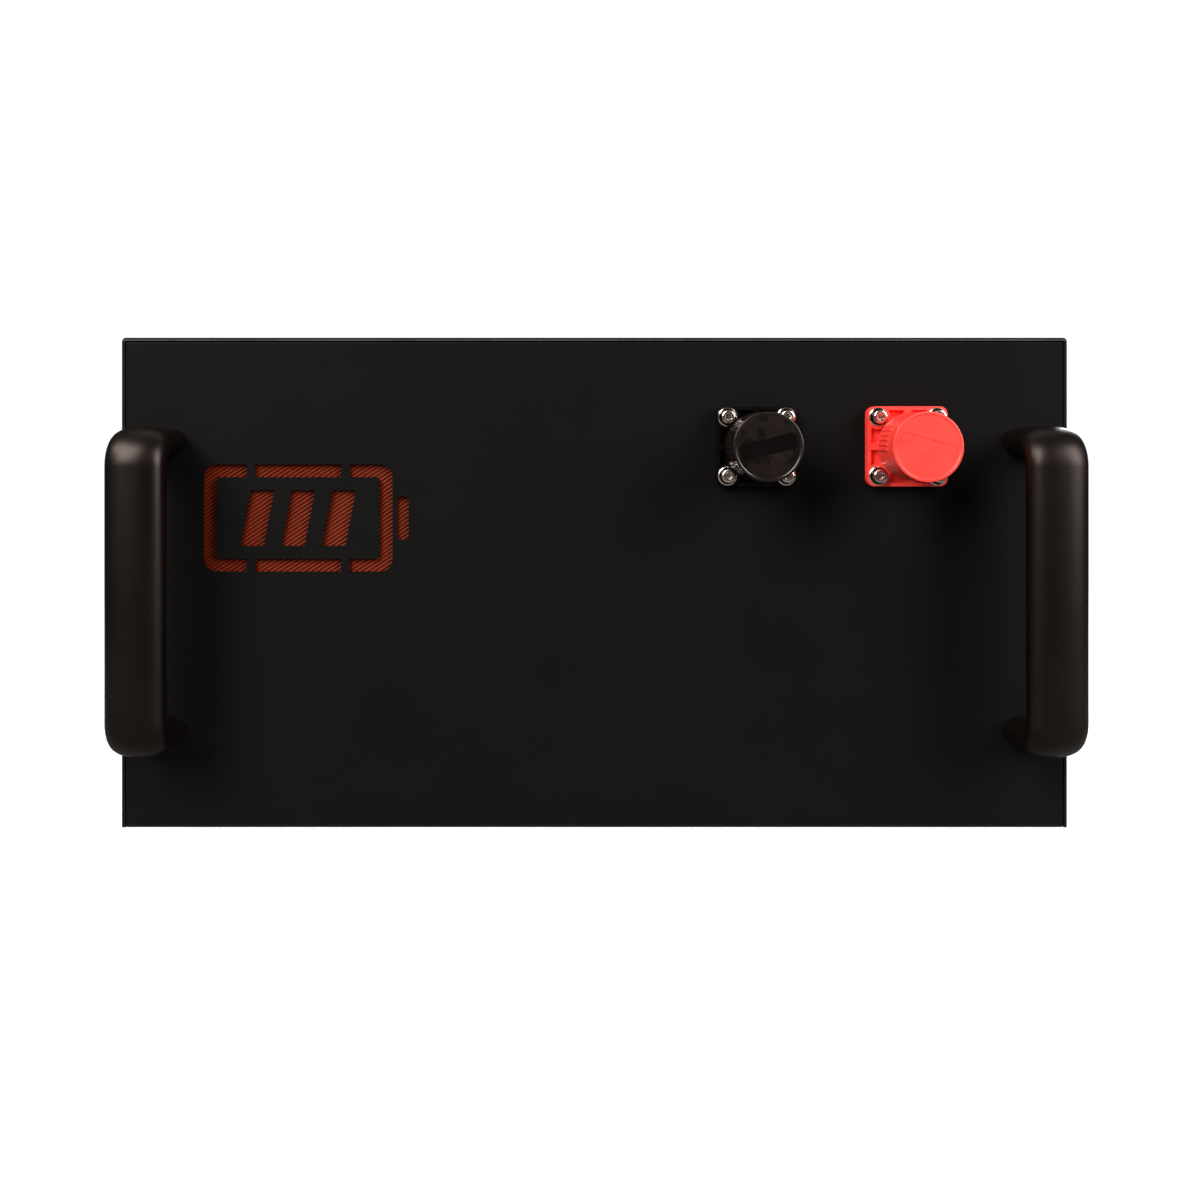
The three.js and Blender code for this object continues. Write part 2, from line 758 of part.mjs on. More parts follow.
function outputCable() {
  const low = sheet + bmsOutletHeight;
  const end = terminalZ - lugLength + lugOverlap;
  const points = [
    [bmsMiddleX, bmsFrontY - fitGap, low],
    [bmsMiddleX, bayY + cableRadius, low],
    [(bmsMiddleX + blackX) / 2, bayY, low],
    [blackX - lugLength, bayY, (low + end) / 2],
    [blackX, lugY + cableRise, (low + 2 * end) / 3],
    [blackX, lugY + cableRise, end],
  ];
  return cable(points, studLug(blackX, -1));
}

// Finishes
const powderCoat = { color: 0x1a1a1a, roughness: 0.55, metalness: 0.1 };
const blackPlastic = { color: 0x1c1817, roughness: 0.45, metalness: 0 };
const redPlastic = { color: 0xe23b38, roughness: 0.4, metalness: 0 };
const orangePlate = { color: 0xa83a18, roughness: 0.5, metalness: 0.1 };
const zincSteel = { color: 0xb9b2a8, roughness: 0.3, metalness: 1 };
const blackSteel = { color: 0x202020, roughness: 0.4, metalness: 0.6 };
const brass = { color: 0xb98b45, roughness: 0.3, metalness: 1 };
const copper = { color: 0xb8693f, roughness: 0.35, metalness: 1 };
const sealRubber = { color: 0x141414, roughness: 0.8, metalness: 0 };
const cellWrap = { color: 0x2a5a9c, roughness: 0.4, metalness: 0.2 };
const aluminium = { color: 0xb4b6b8, roughness: 0.4, metalness: 1 };
const insulation = { color: 0xc9b98a, roughness: 0.7, metalness: 0 };

const pack = new THREE.Group();

function place(parent, name, solid, finish) {
  const mesh = new THREE.Mesh(geometryOf(solid), new THREE.MeshStandardMaterial(finish));
  mesh.name = name;
  parent.add(mesh);
  return mesh;
}

place(pack, "base_pan", basePan(), powderCoat);
place(pack, "cover", cover(), powderCoat);
place(pack, "badge_backing", badgeBacking(), orangePlate);
for (const [side, word] of [[-1, "left"], [1, "right"]]) {
  for (const screwPlace of coverScrewPlaces) {
    place(pack, `cover_screw_${word}_${screwPlace.name}`, coverScrew(side, screwPlace), blackSteel);
  }
  place(pack, `handle_${word}`, handle(side), blackPlastic);
}
for (const corner of fourCorners) {
  place(pack, `handle_screw_${corner.name}`, handleScrew(corner), zincSteel);
}

const terminals = [
  { name: "black", x: blackX, finish: blackPlastic, turn: blackCapTurnDeg },
  { name: "red", x: redX, finish: redPlastic, turn: redCapTurnDeg },
];
for (const { name, x, finish, turn } of terminals) {
  const terminal = new THREE.Group();
  terminal.position.set(x, frontY, terminalZ);
  terminal.rotation.x = Math.PI / 2;
  pack.add(terminal);
  place(terminal, `${name}_terminal_base`, terminalBase(), finish);
  place(terminal, `${name}_terminal_stud`, terminalStud(), brass);
  place(terminal, `${name}_stud_nut`, studNut(), zincSteel);
  place(terminal, `${name}_cap_seal`, capSeal(), sealRubber);
  const cap = place(terminal, `${name}_cap`, terminalCap(), finish);
  cap.rotation.z = THREE.MathUtils.degToRad(turn);
  for (const corner of fourCorners) {
    place(terminal, `${name}_terminal_screw_${corner.name}`, terminalScrew(corner), zincSteel);
  }
}

for (let row = 0; row < cellsDeep; row++) {
  place(pack, `cell_left_${row + 1}`, cell(0, row), cellWrap);
  place(pack, `cell_right_${row + 1}`, cell(1, row), cellWrap);
}
for (let row = 0; row < cellsDeep - 1; row++) {
  const outward = row % 2 ? -1 : 1;
  const [leftX, rightX] = [postX(0, -outward), postX(1, outward)];
  place(pack, `busbar_left_${row + 1}`, busbar(leftX, cellY(row), leftX, cellY(row + 1)), copper);
  place(pack, `busbar_right_${row + 1}`, busbar(rightX, cellY(row), rightX, cellY(row + 1)), copper);
}
const lastY = cellY(cellsDeep - 1);
place(pack, "busbar_cross", busbar(postX(0, 1), lastY, postX(1, -1), lastY), copper);
place(pack, "end_plate_front", endPlateSolid(blockFront), aluminium);
place(pack, "end_plate_rear", endPlateSolid(blockRear - endPlate), aluminium);
place(pack, "strap_lower", strap(cellBottom + lowerStrapShare * cellHeight), zincSteel);
place(pack, "strap_upper", strap(cellBottom + upperStrapShare * cellHeight), zincSteel);
const blockPlan = [blockLeft, blockRight, blockFront, blockRear];
place(pack, "floor_insulation", block(...blockPlan, sheet + seatGap, sheet + floorPad), insulation);
const topSheetZ = panHeight - topSheetGap;
place(pack, "top_insulation", block(...blockPlan, topSheetZ - topSheetThickness, topSheetZ), insulation);
place(pack, "bms_module", bmsModule(), aluminium);
place(pack, "positive_cable", positiveCable(), redPlastic);
place(pack, "negative_cable", negativeCable(), blackPlastic);
place(pack, "output_cable", outputCable(), blackPlastic);

export default pack;
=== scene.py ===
import json
import math
import bmesh
import bpy
from mathutils import Matrix, Vector


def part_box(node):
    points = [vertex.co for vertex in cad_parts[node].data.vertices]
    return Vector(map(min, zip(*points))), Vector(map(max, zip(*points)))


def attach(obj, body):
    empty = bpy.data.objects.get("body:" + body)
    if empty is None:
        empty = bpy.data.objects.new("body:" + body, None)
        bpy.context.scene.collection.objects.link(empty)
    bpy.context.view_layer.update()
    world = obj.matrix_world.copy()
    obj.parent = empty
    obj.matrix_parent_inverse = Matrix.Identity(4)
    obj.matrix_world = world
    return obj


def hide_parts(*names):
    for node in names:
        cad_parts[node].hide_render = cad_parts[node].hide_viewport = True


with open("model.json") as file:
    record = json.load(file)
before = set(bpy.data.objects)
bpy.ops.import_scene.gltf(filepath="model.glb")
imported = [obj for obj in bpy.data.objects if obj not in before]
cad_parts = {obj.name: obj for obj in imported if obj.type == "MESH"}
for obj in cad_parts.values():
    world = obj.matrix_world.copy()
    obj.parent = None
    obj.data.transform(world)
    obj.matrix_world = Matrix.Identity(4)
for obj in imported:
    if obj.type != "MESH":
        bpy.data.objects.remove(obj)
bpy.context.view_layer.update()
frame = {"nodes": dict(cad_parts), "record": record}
print("stage: packed frame loaded")

mm = 0.001
tiny = 0.02 * mm  # how far off its place a vertex may be and still be chosen
hair = 0.002 * mm  # points nearer than this are one
nodes = frame["nodes"]
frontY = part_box("base_pan")[0].y
corners = {"top_left": (-1, 1), "top_right": (1, 1), "bottom_left": (-1, -1), "bottom_right": (1, -1)}


# modelling steps, taken as a hand would take them in the viewport
def deselectAll():
    bpy.ops.object.select_all(action="DESELECT")


def makeActive(piece):
    deselectAll()
    piece.select_set(True)
    bpy.context.view_layer.objects.active = piece


def newPiece(name):
    piece = bpy.context.object
    piece.name = name
    piece.data.name = name
    return piece


def settle(piece):
    makeActive(piece)
    bpy.ops.object.transform_apply(location=True, rotation=True, scale=True)


def addBlock(name, low, high):
    deselectAll()
    low, high = Vector(low), Vector(high)
    bpy.ops.mesh.primitive_cube_add(size=1, location=(low + high) / 2)
    piece = newPiece(name)
    piece.scale = high - low
    settle(piece)
    return piece


# a round bar out of the panel, from one reach to another
def addBar(name, centre, radius, start, end, steps=24):
    deselectAll()
    middle = centre - Vector((0, (start + end) / 2, 0))
    bpy.ops.mesh.primitive_cylinder_add(
        vertices=steps, radius=radius, depth=abs(end - start), location=middle, rotation=(math.pi / 2, 0, 0))
    piece = newPiece(name)
    settle(piece)
    return piece


def choose(piece, kind, test):
    bpy.ops.mesh.select_mode(type={"verts": "VERT", "edges": "EDGE", "faces": "FACE"}[kind])
    bpy.ops.mesh.select_all(action="DESELECT")
    mesh = bmesh.from_edit_mesh(piece.data)
    for part in getattr(mesh, kind):
        if test(part):
            part.select_set(True)
    bmesh.update_edit_mesh(piece.data)


def middleOf(edge):
    return (edge.verts[0].co + edge.verts[1].co) / 2


def runOf(edge):
    return (edge.verts[1].co - edge.verts[0].co).normalized()


def startEdit(piece):
    makeActive(piece)
    bpy.ops.object.mode_set(mode="EDIT")
    bpy.ops.mesh.select_mode(type="VERT")


def endEdit():
    bpy.ops.object.mode_set(mode="OBJECT")


def modify(piece, kind, **settings):
    makeActive(piece)
    modifier = piece.modifiers.new(kind.title(), kind)
    for setting, value in settings.items():
        setattr(modifier, setting, value)
    bpy.ops.object.modifier_apply(modifier=modifier.name)


def carve(piece, tool, operation="DIFFERENCE"):
    modify(piece, "BOOLEAN", object=tool, operation=operation, solver="EXACT")
    bpy.data.objects.remove(tool)


def joinPieces(first, others):
    makeActive(first)
    for other in others:
        other.select_set(True)
    bpy.ops.object.join()
    return first


# joins what booleans and bevels leave a hair apart
def weld(piece):
    startEdit(piece)
    bpy.ops.mesh.select_all(action="SELECT")
    bpy.ops.mesh.remove_doubles(threshold=2 * hair)
    bpy.ops.mesh.dissolve_degenerate(threshold=hair)
    endEdit()


# small rounds on the sharp edges, then smooth shading between them
def softenEdges(piece, width, segments=2, sharperThan=30, smoothTo=40):
    modify(piece, "BEVEL", width=width, segments=segments, limit_method="ANGLE",
           angle_limit=math.radians(sharperThan), use_clamp_overlap=True)
    smooth(piece, smoothTo)
    modify(piece, "WEIGHTED_NORMAL", keep_sharp=True, weight=100)


def smooth(piece, degrees=40):
    makeActive(piece)
    bpy.ops.object.shade_smooth_by_angle(angle=math.radians(degrees))


# one vertex is pulled along the profile and spun round the axis that comes out of the panel
def spinPiece(name, profile, centre, steps=48):
    deselectAll()
    bpy.ops.mesh.primitive_plane_add(size=mm, location=centre)
    piece = newPiece(name)
    settle(piece)
    startEdit(piece)
    bpy.ops.mesh.select_all(action="SELECT")
    bpy.ops.mesh.merge(type="CENTER")
    radius, reach = profile[0]
    bpy.ops.transform.translate(value=(radius * mm, -reach * mm, 0))
    for nextRadius, nextReach in profile[1:]:
        step = ((nextRadius - radius) * mm, (reach - nextReach) * mm, 0)
        bpy.ops.mesh.extrude_vertices_move(TRANSFORM_OT_translate={"value": step})
        radius, reach = nextRadius, nextReach
    bpy.ops.mesh.select_all(action="SELECT")
    bpy.ops.mesh.spin(steps=steps, angle=2 * math.pi, center=centre, axis=(0, 1, 0))
    bpy.ops.mesh.select_all(action="SELECT")
    bpy.ops.mesh.remove_doubles(threshold=hair)
    bpy.ops.mesh.normals_make_consistent(inside=False)
    endEdit()
    return piece


def copyOf(piece, name):
    twin = piece.copy()
    twin.data = piece.data.copy()
    twin.name = name
    twin.data.name = name
    bpy.context.collection.objects.link(twin)
    return twin


def moved(piece, matrix):
    piece.data.transform(matrix)
    piece.data.update()
    return piece


def turnAbout(centre, degrees):
    there = Matrix.Translation(centre)
    return there @ Matrix.Rotation(-math.radians(degrees), 4, "Y") @ there.inverted()


# what the materials are wired from
def addNode(tree, kind, inputs=None, **settings):
    node = tree.nodes.new(kind)
    for setting, value in settings.items():
        setattr(node, setting, value)
    for socket, value in (inputs or {}).items():
        if isinstance(value, bpy.types.NodeSocket):
            tree.links.new(value, node.inputs[socket])
        else:
            node.inputs[socket].default_value = value
    return node


def newGroup(name, inputs, outputs):
    group = bpy.data.node_groups.new(name, "ShaderNodeTree")
    for label, value in inputs.items():
        kind = "NodeSocketColor" if isinstance(value, tuple) else "NodeSocketFloat"
        socket = group.interface.new_socket(label, in_out="INPUT", socket_type=kind)
        socket.default_value = value
    for label in outputs:
        group.interface.new_socket(label, in_out="OUTPUT", socket_type="NodeSocketFloat")
    return group, addNode(group, "NodeGroupInput"), addNode(group, "NodeGroupOutput")


def rangeNode(tree, value, low, high, toLow=0.0, toHigh=1.0):
    return addNode(tree, "ShaderNodeMapRange", {
        "Value": value, "From Min": low, "From Max": high, "To Min": toLow, "To Max": toHigh}).outputs[0]


def mathNode(tree, operation, first, second=0.0):
    return addNode(tree, "ShaderNodeMath", {0: first, 1: second}, operation=operation).outputs[0]


# even grain: a height for bump and a slow drift for colour and roughness
def makeGrainGroup():
    group, given, result = newGroup("grain", {"Pitch": 900.0, "Drift": 14.0}, ["Height", "Slow"])
    place = addNode(group, "ShaderNodeTexCoord").outputs["Object"]
    fine = addNode(group, "ShaderNodeTexNoise", {
        "Vector": place, "Scale": given.outputs["Pitch"], "Detail": 3.0, "Roughness": 0.55})
    slow = addNode(group, "ShaderNodeTexNoise", {
        "Vector": place, "Scale": given.outputs["Drift"], "Detail": 4.0, "Roughness": 0.6})
    group.links.new(fine.outputs[0], result.inputs["Height"])
    group.links.new(rangeNode(group, slow.outputs[0], 0.3, 0.7), result.inputs["Slow"])
    return group


# thin hairline marks that run in two directions
def makeScuffGroup():
    group, given, result = newGroup("scuffs", {"Scale": 90.0, "Amount": 0.5}, ["Mask"])
    place = addNode(group, "ShaderNodeTexCoord").outputs["Object"]
    marks = []
    for turn, stretch in ((0.5, (1.0, 1.0, 16.0)), (1.3, (14.0, 1.0, 1.0))):
        lie = addNode(group, "ShaderNodeMapping", {
            "Vector": place, "Rotation": (0.3, turn, 0.2), "Scale": stretch})
        noise = addNode(group, "ShaderNodeTexNoise", {
            "Vector": lie.outputs[0], "Scale": given.outputs["Scale"], "Detail": 5.0, "Roughness": 0.7})
        marks.append(rangeNode(group, noise.outputs[0], 0.64, 0.74))
    patch = addNode(group, "ShaderNodeTexNoise", {"Vector": place, "Scale": 30.0, "Detail": 2.0})
    both = mathNode(group, "MAXIMUM", marks[0], marks[1])
    gated = mathNode(group, "MULTIPLY", both, rangeNode(group, patch.outputs[0], 0.42, 0.62))
    group.links.new(mathNode(group, "MULTIPLY", gated, given.outputs["Amount"]), result.inputs["Mask"])
    return group


# how near a place is to an outer edge of the case: 1 on the edge, 0 inside
def makeCaseEdgeGroup():
    low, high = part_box("cover")
    half, centre = (high - low) / 2, (high + low) / 2
    group, given, result = newGroup("caseEdge", {"Width": 0.004}, ["Mask"])
    place = addNode(group, "ShaderNodeTexCoord").outputs["Object"]
    parts = addNode(group, "ShaderNodeSeparateXYZ", {0: place})
    depths = []
    for axis in range(3):
        offset = mathNode(group, "SUBTRACT", parts.outputs[axis], centre[axis])
        depths.append(mathNode(group, "SUBTRACT", half[axis], mathNode(group, "ABSOLUTE", offset)))
    pairs = [mathNode(group, "MAXIMUM", depths[a], depths[b]) for a, b in ((0, 1), (1, 2), (0, 2))]
    nearest = mathNode(group, "MINIMUM", mathNode(group, "MINIMUM", pairs[0], pairs[1]), pairs[2])
    ragged = addNode(group, "ShaderNodeTexNoise", {"Vector": place, "Scale": 160.0, "Detail": 6.0})
    reach = mathNode(group, "MULTIPLY", given.outputs["Width"], ragged.outputs[0])
    share = mathNode(group, "DIVIDE", nearest, reach)
    group.links.new(rangeNode(group, share, 0.6, 1.0, 1.0, 0.0), result.inputs["Mask"])
    return group


groups = {"grain": makeGrainGroup(), "scuffs": makeScuffGroup(), "caseEdge": makeCaseEdgeGroup()}


def setGroup(tree, name, values):
    node = addNode(tree, "ShaderNodeGroup", node_tree=groups[name])
    for label, value in values.items():
        node.inputs[label].default_value = value
    return node


def startMaterial(name, **constants):
    material = bpy.data.materials.new(name)
    material.use_nodes = True
    tree = material.node_tree
    shader = tree.nodes["Principled BSDF"]
    for socket, value in constants.items():
        shader.inputs[socket.replace("_", " ")].default_value = value
    return material, tree, shader


def mixColour(tree, share, first, second):
    node = addNode(tree, "ShaderNodeMix", data_type="RGBA")
    for socket, value in ((0, share), (6, first), (7, second)):
        if isinstance(value, bpy.types.NodeSocket):
            tree.links.new(value, node.inputs[socket])
        else:
            node.inputs[socket].default_value = value if socket == 0 else (*value, 1.0)
    return node.outputs[2]


# what most finishes share: two tones, grain in the bump, scuffs in colour and roughness
def makeFinish(name, look, **constants):
    material, tree, shader = startMaterial(name, **constants)
    grain = setGroup(tree, "grain", {"Pitch": look["grainPitch"], "Drift": look["drift"]})
    scuffs = setGroup(tree, "scuffs", {"Scale": look["scuffScale"], "Amount": look["scuffs"]})
    tone = mixColour(tree, grain.outputs["Slow"], look["dark"], look["light"])
    worn = mixColour(tree, scuffs.outputs["Mask"], tone, look["scuffColour"])
    tree.links.new(worn, shader.inputs["Base Color"])
    rough = rangeNode(tree, grain.outputs["Slow"], 0.0, 1.0, look["rough"][0], look["rough"][1])
    extra = mathNode(tree, "MULTIPLY", scuffs.outputs["Mask"], look["scuffRough"])
    tree.links.new(mathNode(tree, "ADD", rough, extra), shader.inputs["Roughness"])
    bump = addNode(tree, "ShaderNodeBump", {
        "Strength": look["bump"], "Distance": look["bumpDepth"], "Height": grain.outputs["Height"]})
    tree.links.new(bump.outputs[0], shader.inputs["Normal"])
    return material, tree, shader, worn


plainLook = {
    "dark": (0.008, 0.008, 0.008), "light": (0.010, 0.010, 0.010), "scuffColour": (0.03, 0.03, 0.03),
    "grainPitch": 900.0, "drift": 14.0, "scuffScale": 90.0, "scuffs": 0.2, "scuffRough": 0.1,
    "rough": (0.45, 0.55), "bump": 0.3, "bumpDepth": 0.00005,
}


def lookWith(**changes):
    return {**plainLook, **changes}


# painted highlight along the cover's front edge, where the bend catches the light: a lighter strip between these
# depths, in mm; the rub values are for edge wear
coverEdge = {"lowStart": 1.7, "lowFull": 1.4, "highFull": 1.0, "highEnd": 0.6, "frontFull": 0.3, "frontEnd": 0.8,
             "patchScale": 60.0, "patchRange": (0.3, 0.65, 0.5, 1.25), "colour": (0.060, 0.060, 0.061),
             "rubWidth": 0.003, "rubColour": (0.009, 0.009, 0.0093)}


def makePowderCoat():
    finish = lookWith(
        dark=(0.0042, 0.0042, 0.0042), light=(0.0050, 0.0050, 0.0050), scuffColour=(0.012, 0.012, 0.012),
        grainPitch=1300.0, drift=16.0, scuffs=0.05, rough=(0.53, 0.57), bump=0.22, bumpDepth=0.00008)
    material, tree, shader, worn = makeFinish("powderCoat", finish, Specular_IOR_Level=0.05)
    edge = setGroup(tree, "caseEdge", {"Width": coverEdge["rubWidth"]})
    rubbed = mixColour(tree, edge.outputs["Mask"], worn, coverEdge["rubColour"])
    place = addNode(tree, "ShaderNodeTexCoord").outputs["Object"]
    parts = addNode(tree, "ShaderNodeSeparateXYZ", {0: place})
    lower = rangeNode(tree, parts.outputs[2],
                      coverTop - coverEdge["lowStart"] * mm, coverTop - coverEdge["lowFull"] * mm)
    upper = rangeNode(tree, parts.outputs[2],
                      coverTop - coverEdge["highFull"] * mm, coverTop - coverEdge["highEnd"] * mm, 1.0, 0.0)
    strip = mathNode(tree, "MULTIPLY", lower, upper)
    front = rangeNode(tree, parts.outputs[1],
                      frontY + coverEdge["frontFull"] * mm, frontY + coverEdge["frontEnd"] * mm, 1.0, 0.0)
    uneven = addNode(tree, "ShaderNodeTexNoise", {
        "Vector": place, "Scale": coverEdge["patchScale"], "Detail": 5.0})
    patchy = rangeNode(tree, uneven.outputs[0], *coverEdge["patchRange"])
    # painted highlight: a patchy lighter strip on the cover's front edge
    edgeHighlight = mathNode(tree, "MULTIPLY", mathNode(tree, "MULTIPLY", strip, front), patchy)
    tree.links.new(mixColour(tree, edgeHighlight, rubbed, coverEdge["colour"]), shader.inputs["Base Color"])
    return material


def makeSteel(name, dark, light, rough, pitch):
    finish = lookWith(
        dark=dark, light=light, scuffColour=tuple(0.6 * part for part in dark), grainPitch=pitch, drift=60.0,
        scuffScale=400.0, scuffs=0.6, scuffRough=0.15, rough=rough, bump=0.15, bumpDepth=0.00002)
    return makeFinish(name, finish, Metallic=1.0)[0]


# painted shade darkens a band between a terminal screw's head and its washer, over the spring ring
def paintShadeBand(material, start, end, colour, fade=0.05):
    tree = material.node_tree
    shader = tree.nodes["Principled BSDF"]
    place = addNode(tree, "ShaderNodeTexCoord").outputs["Object"]
    depth = addNode(tree, "ShaderNodeSeparateXYZ", {0: place}).outputs[1]
    above = rangeNode(tree, depth, frontY - end * mm, frontY - (end - fade) * mm)
    below = rangeNode(tree, depth, frontY - (start + fade) * mm, frontY - start * mm, 1.0, 0.0)
    band = mathNode(tree, "MULTIPLY", above, below)
    clean = shader.inputs["Base Color"].links[0].from_socket
    tree.links.new(mixColour(tree, band, clean, colour), shader.inputs["Base Color"])


# painted shade darkens the grip recess in a cap's face, which is also glossier than the face; painted dark
# reflection blotches lie on the face too
capShade = {"colour": (0.0020, 0.0015, 0.0015), "inRecess": 0.9, "onFace": 0.55, "gloss": 0.6, "fade": (0.05, 0.1),
            "scale": 130.0, "edge": (0.52, 0.55)}


def makeCapPlastic():
    finish = lookWith(
        dark=(0.0070, 0.0045, 0.0040), light=(0.0110, 0.0074, 0.0066), scuffColour=(0.030, 0.025, 0.022),
        grainPitch=700.0, drift=75.0, scuffScale=110.0, scuffs=0.5, scuffRough=0.12, rough=(0.20, 0.34),
        bump=0.12, bumpDepth=0.00006)
    material, tree, shader, worn = makeFinish("capPlastic", finish, Specular_IOR_Level=0.35)
    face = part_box("black_cap")[0].y + cap["rimHeight"] * mm
    near, far = (step * mm for step in capShade["fade"])
    place = addNode(tree, "ShaderNodeTexCoord").outputs["Object"]
    depth = addNode(tree, "ShaderNodeSeparateXYZ", {0: place}).outputs[1]
    below = rangeNode(tree, depth, face + near, face + far)
    skin = rangeNode(tree, depth, face + cap["floor"] / 2 * mm, face + cap["floor"] * mm, 1.0, 0.0)
    recess = mathNode(tree, "MULTIPLY", below, skin)
    blotch = addNode(tree, "ShaderNodeTexNoise", {
        "Vector": place, "Scale": capShade["scale"], "Detail": 3.0, "Roughness": 0.4})
    onFace = mathNode(tree, "MULTIPLY", rangeNode(tree, depth, face - far, face - near), skin)
    shadeBlotches = rangeNode(tree, blotch.outputs[0], *capShade["edge"], 0.0, capShade["onFace"])
    # painted shade in the recess and painted dark reflection blotches on the face
    paintedShade = mathNode(tree, "MAXIMUM", mathNode(tree, "MULTIPLY", onFace, shadeBlotches),
                      mathNode(tree, "MULTIPLY", recess, capShade["inRecess"]))
    tree.links.new(mixColour(tree, paintedShade, worn, capShade["colour"]), shader.inputs["Base Color"])
    rough = shader.inputs["Roughness"].links[0].from_socket
    kept = rangeNode(tree, paintedShade, 0.0, 1.0, 1.0, capShade["gloss"])
    tree.links.new(mathNode(tree, "MULTIPLY", rough, kept), shader.inputs["Roughness"])
    return material


# the rib valleys are darkened with painted shade, deeper is darker
ribLook = {"shadedValley": (0.014, 0.0009, 0.0004), "crest": (0.165, 0.016, 0.0045), "worn": (0.12, 0.020, 0.004),
           "wornShare": 0.35, "rough": (0.35, 0.5), "grainPitch": 2600.0, "drift": 120.0}


def makeOrangeRibs():
    material, tree, shader = startMaterial("orangeRibs", Specular_IOR_Level=0.06)
    place = addNode(tree, "ShaderNodeTexCoord").outputs["Object"]
    depth = addNode(tree, "ShaderNodeSeparateXYZ", {0: place}).outputs[1]
    crest = rangeNode(tree, depth, badgeFront + ribs["depth"] * mm, badgeFront, 0.0, 1.0)
    grain = setGroup(tree, "grain", {"Pitch": ribLook["grainPitch"], "Drift": ribLook["drift"]})
    # painted shade: colour darkens from the crests down into the valleys
    tone = mixColour(tree, crest, ribLook["shadedValley"], ribLook["crest"])
    share = rangeNode(tree, grain.outputs["Slow"], 0.0, 1.0, 0.0, ribLook["wornShare"])
    tree.links.new(mixColour(tree, share, tone, ribLook["worn"]), shader.inputs["Base Color"])
    rough = rangeNode(tree, grain.outputs["Slow"], 0.0, 1.0, *ribLook["rough"])
    tree.links.new(rough, shader.inputs["Roughness"])
    bump = addNode(tree, "ShaderNodeBump", {
        "Strength": 0.2, "Distance": 0.00002, "Height": grain.outputs["Height"]})
    tree.links.new(bump.outputs[0], shader.inputs["Normal"])
    return material


case = {"sheet": 1.5, "panBend": 1.0, "coverBend": 1.8, "lip": 12, "kick": 13.5, "sideFill": 0.22,
        "edgeRound": 0.2, "softAbove": 40, "foldAngle": 1}
holes = {"screw": 2.3, "spigot": 11.3, "handle": 2.8, "inside": -4, "outside": 2, "sideReach": 10}
coverScrewNames = sorted(name for name in nodes if name.startswith("cover_screw_"))


def makeCaseBody():
    low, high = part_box("base_pan")
    low.x, high.x = low.x - case["sideFill"] * mm, high.x + case["sideFill"] * mm
    piece = addBlock("caseBody", low, high)
    startEdit(piece)
    cuts = [((0, low.y + case["lip"] * mm, 0), (0, 1, 0)), ((0, high.y - case["lip"] * mm, 0), (0, 1, 0)),
            ((0, 0, low.z + case["kick"] * mm), (0, 0, 1))]
    for place, across in cuts:
        bpy.ops.mesh.select_all(action="SELECT")
        bpy.ops.mesh.bisect(plane_co=place, plane_no=across)
    inner = high.y - case["lip"] * mm

    def isOpen(face):
        at, out = face.calc_center_median(), face.normal
        between = abs(at.y) < inner
        return between and (out.z > 0.5 or (abs(out.x) > 0.5 and at.z > low.z + case["kick"] * mm))

    choose(piece, "faces", isOpen)
    bpy.ops.mesh.delete(type="FACE")
    choose(piece, "edges", lambda edge: len(edge.link_faces) == 2 and edge.calc_face_angle() > case["foldAngle"])
    bpy.ops.mesh.bevel(offset=case["panBend"] * mm, segments=4, affect="EDGES")
    endEdit()
    modify(piece, "SOLIDIFY", thickness=case["sheet"] * mm, offset=-1, use_even_offset=True)
    for tool in frontTools():
        carve(piece, tool)
    softenEdges(piece, case["edgeRound"] * mm, sharperThan=case["softAbove"])
    return piece


# everything that is cut through the front panel, as one tool
def frontTools():
    inside, outside = holes["inside"] * mm, holes["outside"] * mm
    tools = [makeBadgeCutter(inside, outside)]
    for colour in ("black", "red"):
        centre = terminalCentre(colour)
        tools.append(addBar("tool", centre, holes["spigot"] * mm, inside, outside, 48))
        tools += [addBar("tool", centre + at, holes["screw"] * mm, inside, outside) for at in screwPlaces()]
    for corner in corners:
        low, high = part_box("handle_screw_" + corner)
        centre = Vector(((low.x + high.x) / 2, frontY, (low.z + high.z) / 2))
        tools.append(addBar("tool", centre, holes["handle"] * mm, inside, outside))
    return [joinPieces(tools[0], tools[1:])]


def makeCover():
    low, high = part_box("cover")
    piece = addBlock("caseCover", low, high)
    startEdit(piece)
    choose(piece, "faces", lambda face: face.normal.z < -0.5 or abs(face.normal.y) > 0.5)
    bpy.ops.mesh.delete(type="FACE")
    choose(piece, "edges", lambda edge: abs(runOf(edge).y) > 0.9 and middleOf(edge).z > high.z - tiny)
    bpy.ops.mesh.bevel(offset=case["coverBend"] * mm, segments=6, affect="EDGES")
    endEdit()
    modify(piece, "SOLIDIFY", thickness=case["sheet"] * mm, offset=-1, use_even_offset=True)
    tools = []
    for name in coverScrewNames:
        low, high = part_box(name)
        side = 1 if high.x > 0 else -1
        centre = Vector((high.x if side > 0 else low.x, (low.y + high.y) / 2, (low.z + high.z) / 2))
        reach = holes["sideReach"] * mm
        bar = addBar("tool", Vector((0, 0, 0)), holes["screw"] * mm, -reach, reach)
        moved(bar, Matrix.Translation(centre) @ Matrix.Rotation(math.pi / 2, 4, "Z"))
        tools.append(bar)
    carve(piece, joinPieces(tools[0], tools[1:]))
    softenEdges(piece, case["edgeRound"] * mm, sharperThan=case["softAbove"])
    return piece


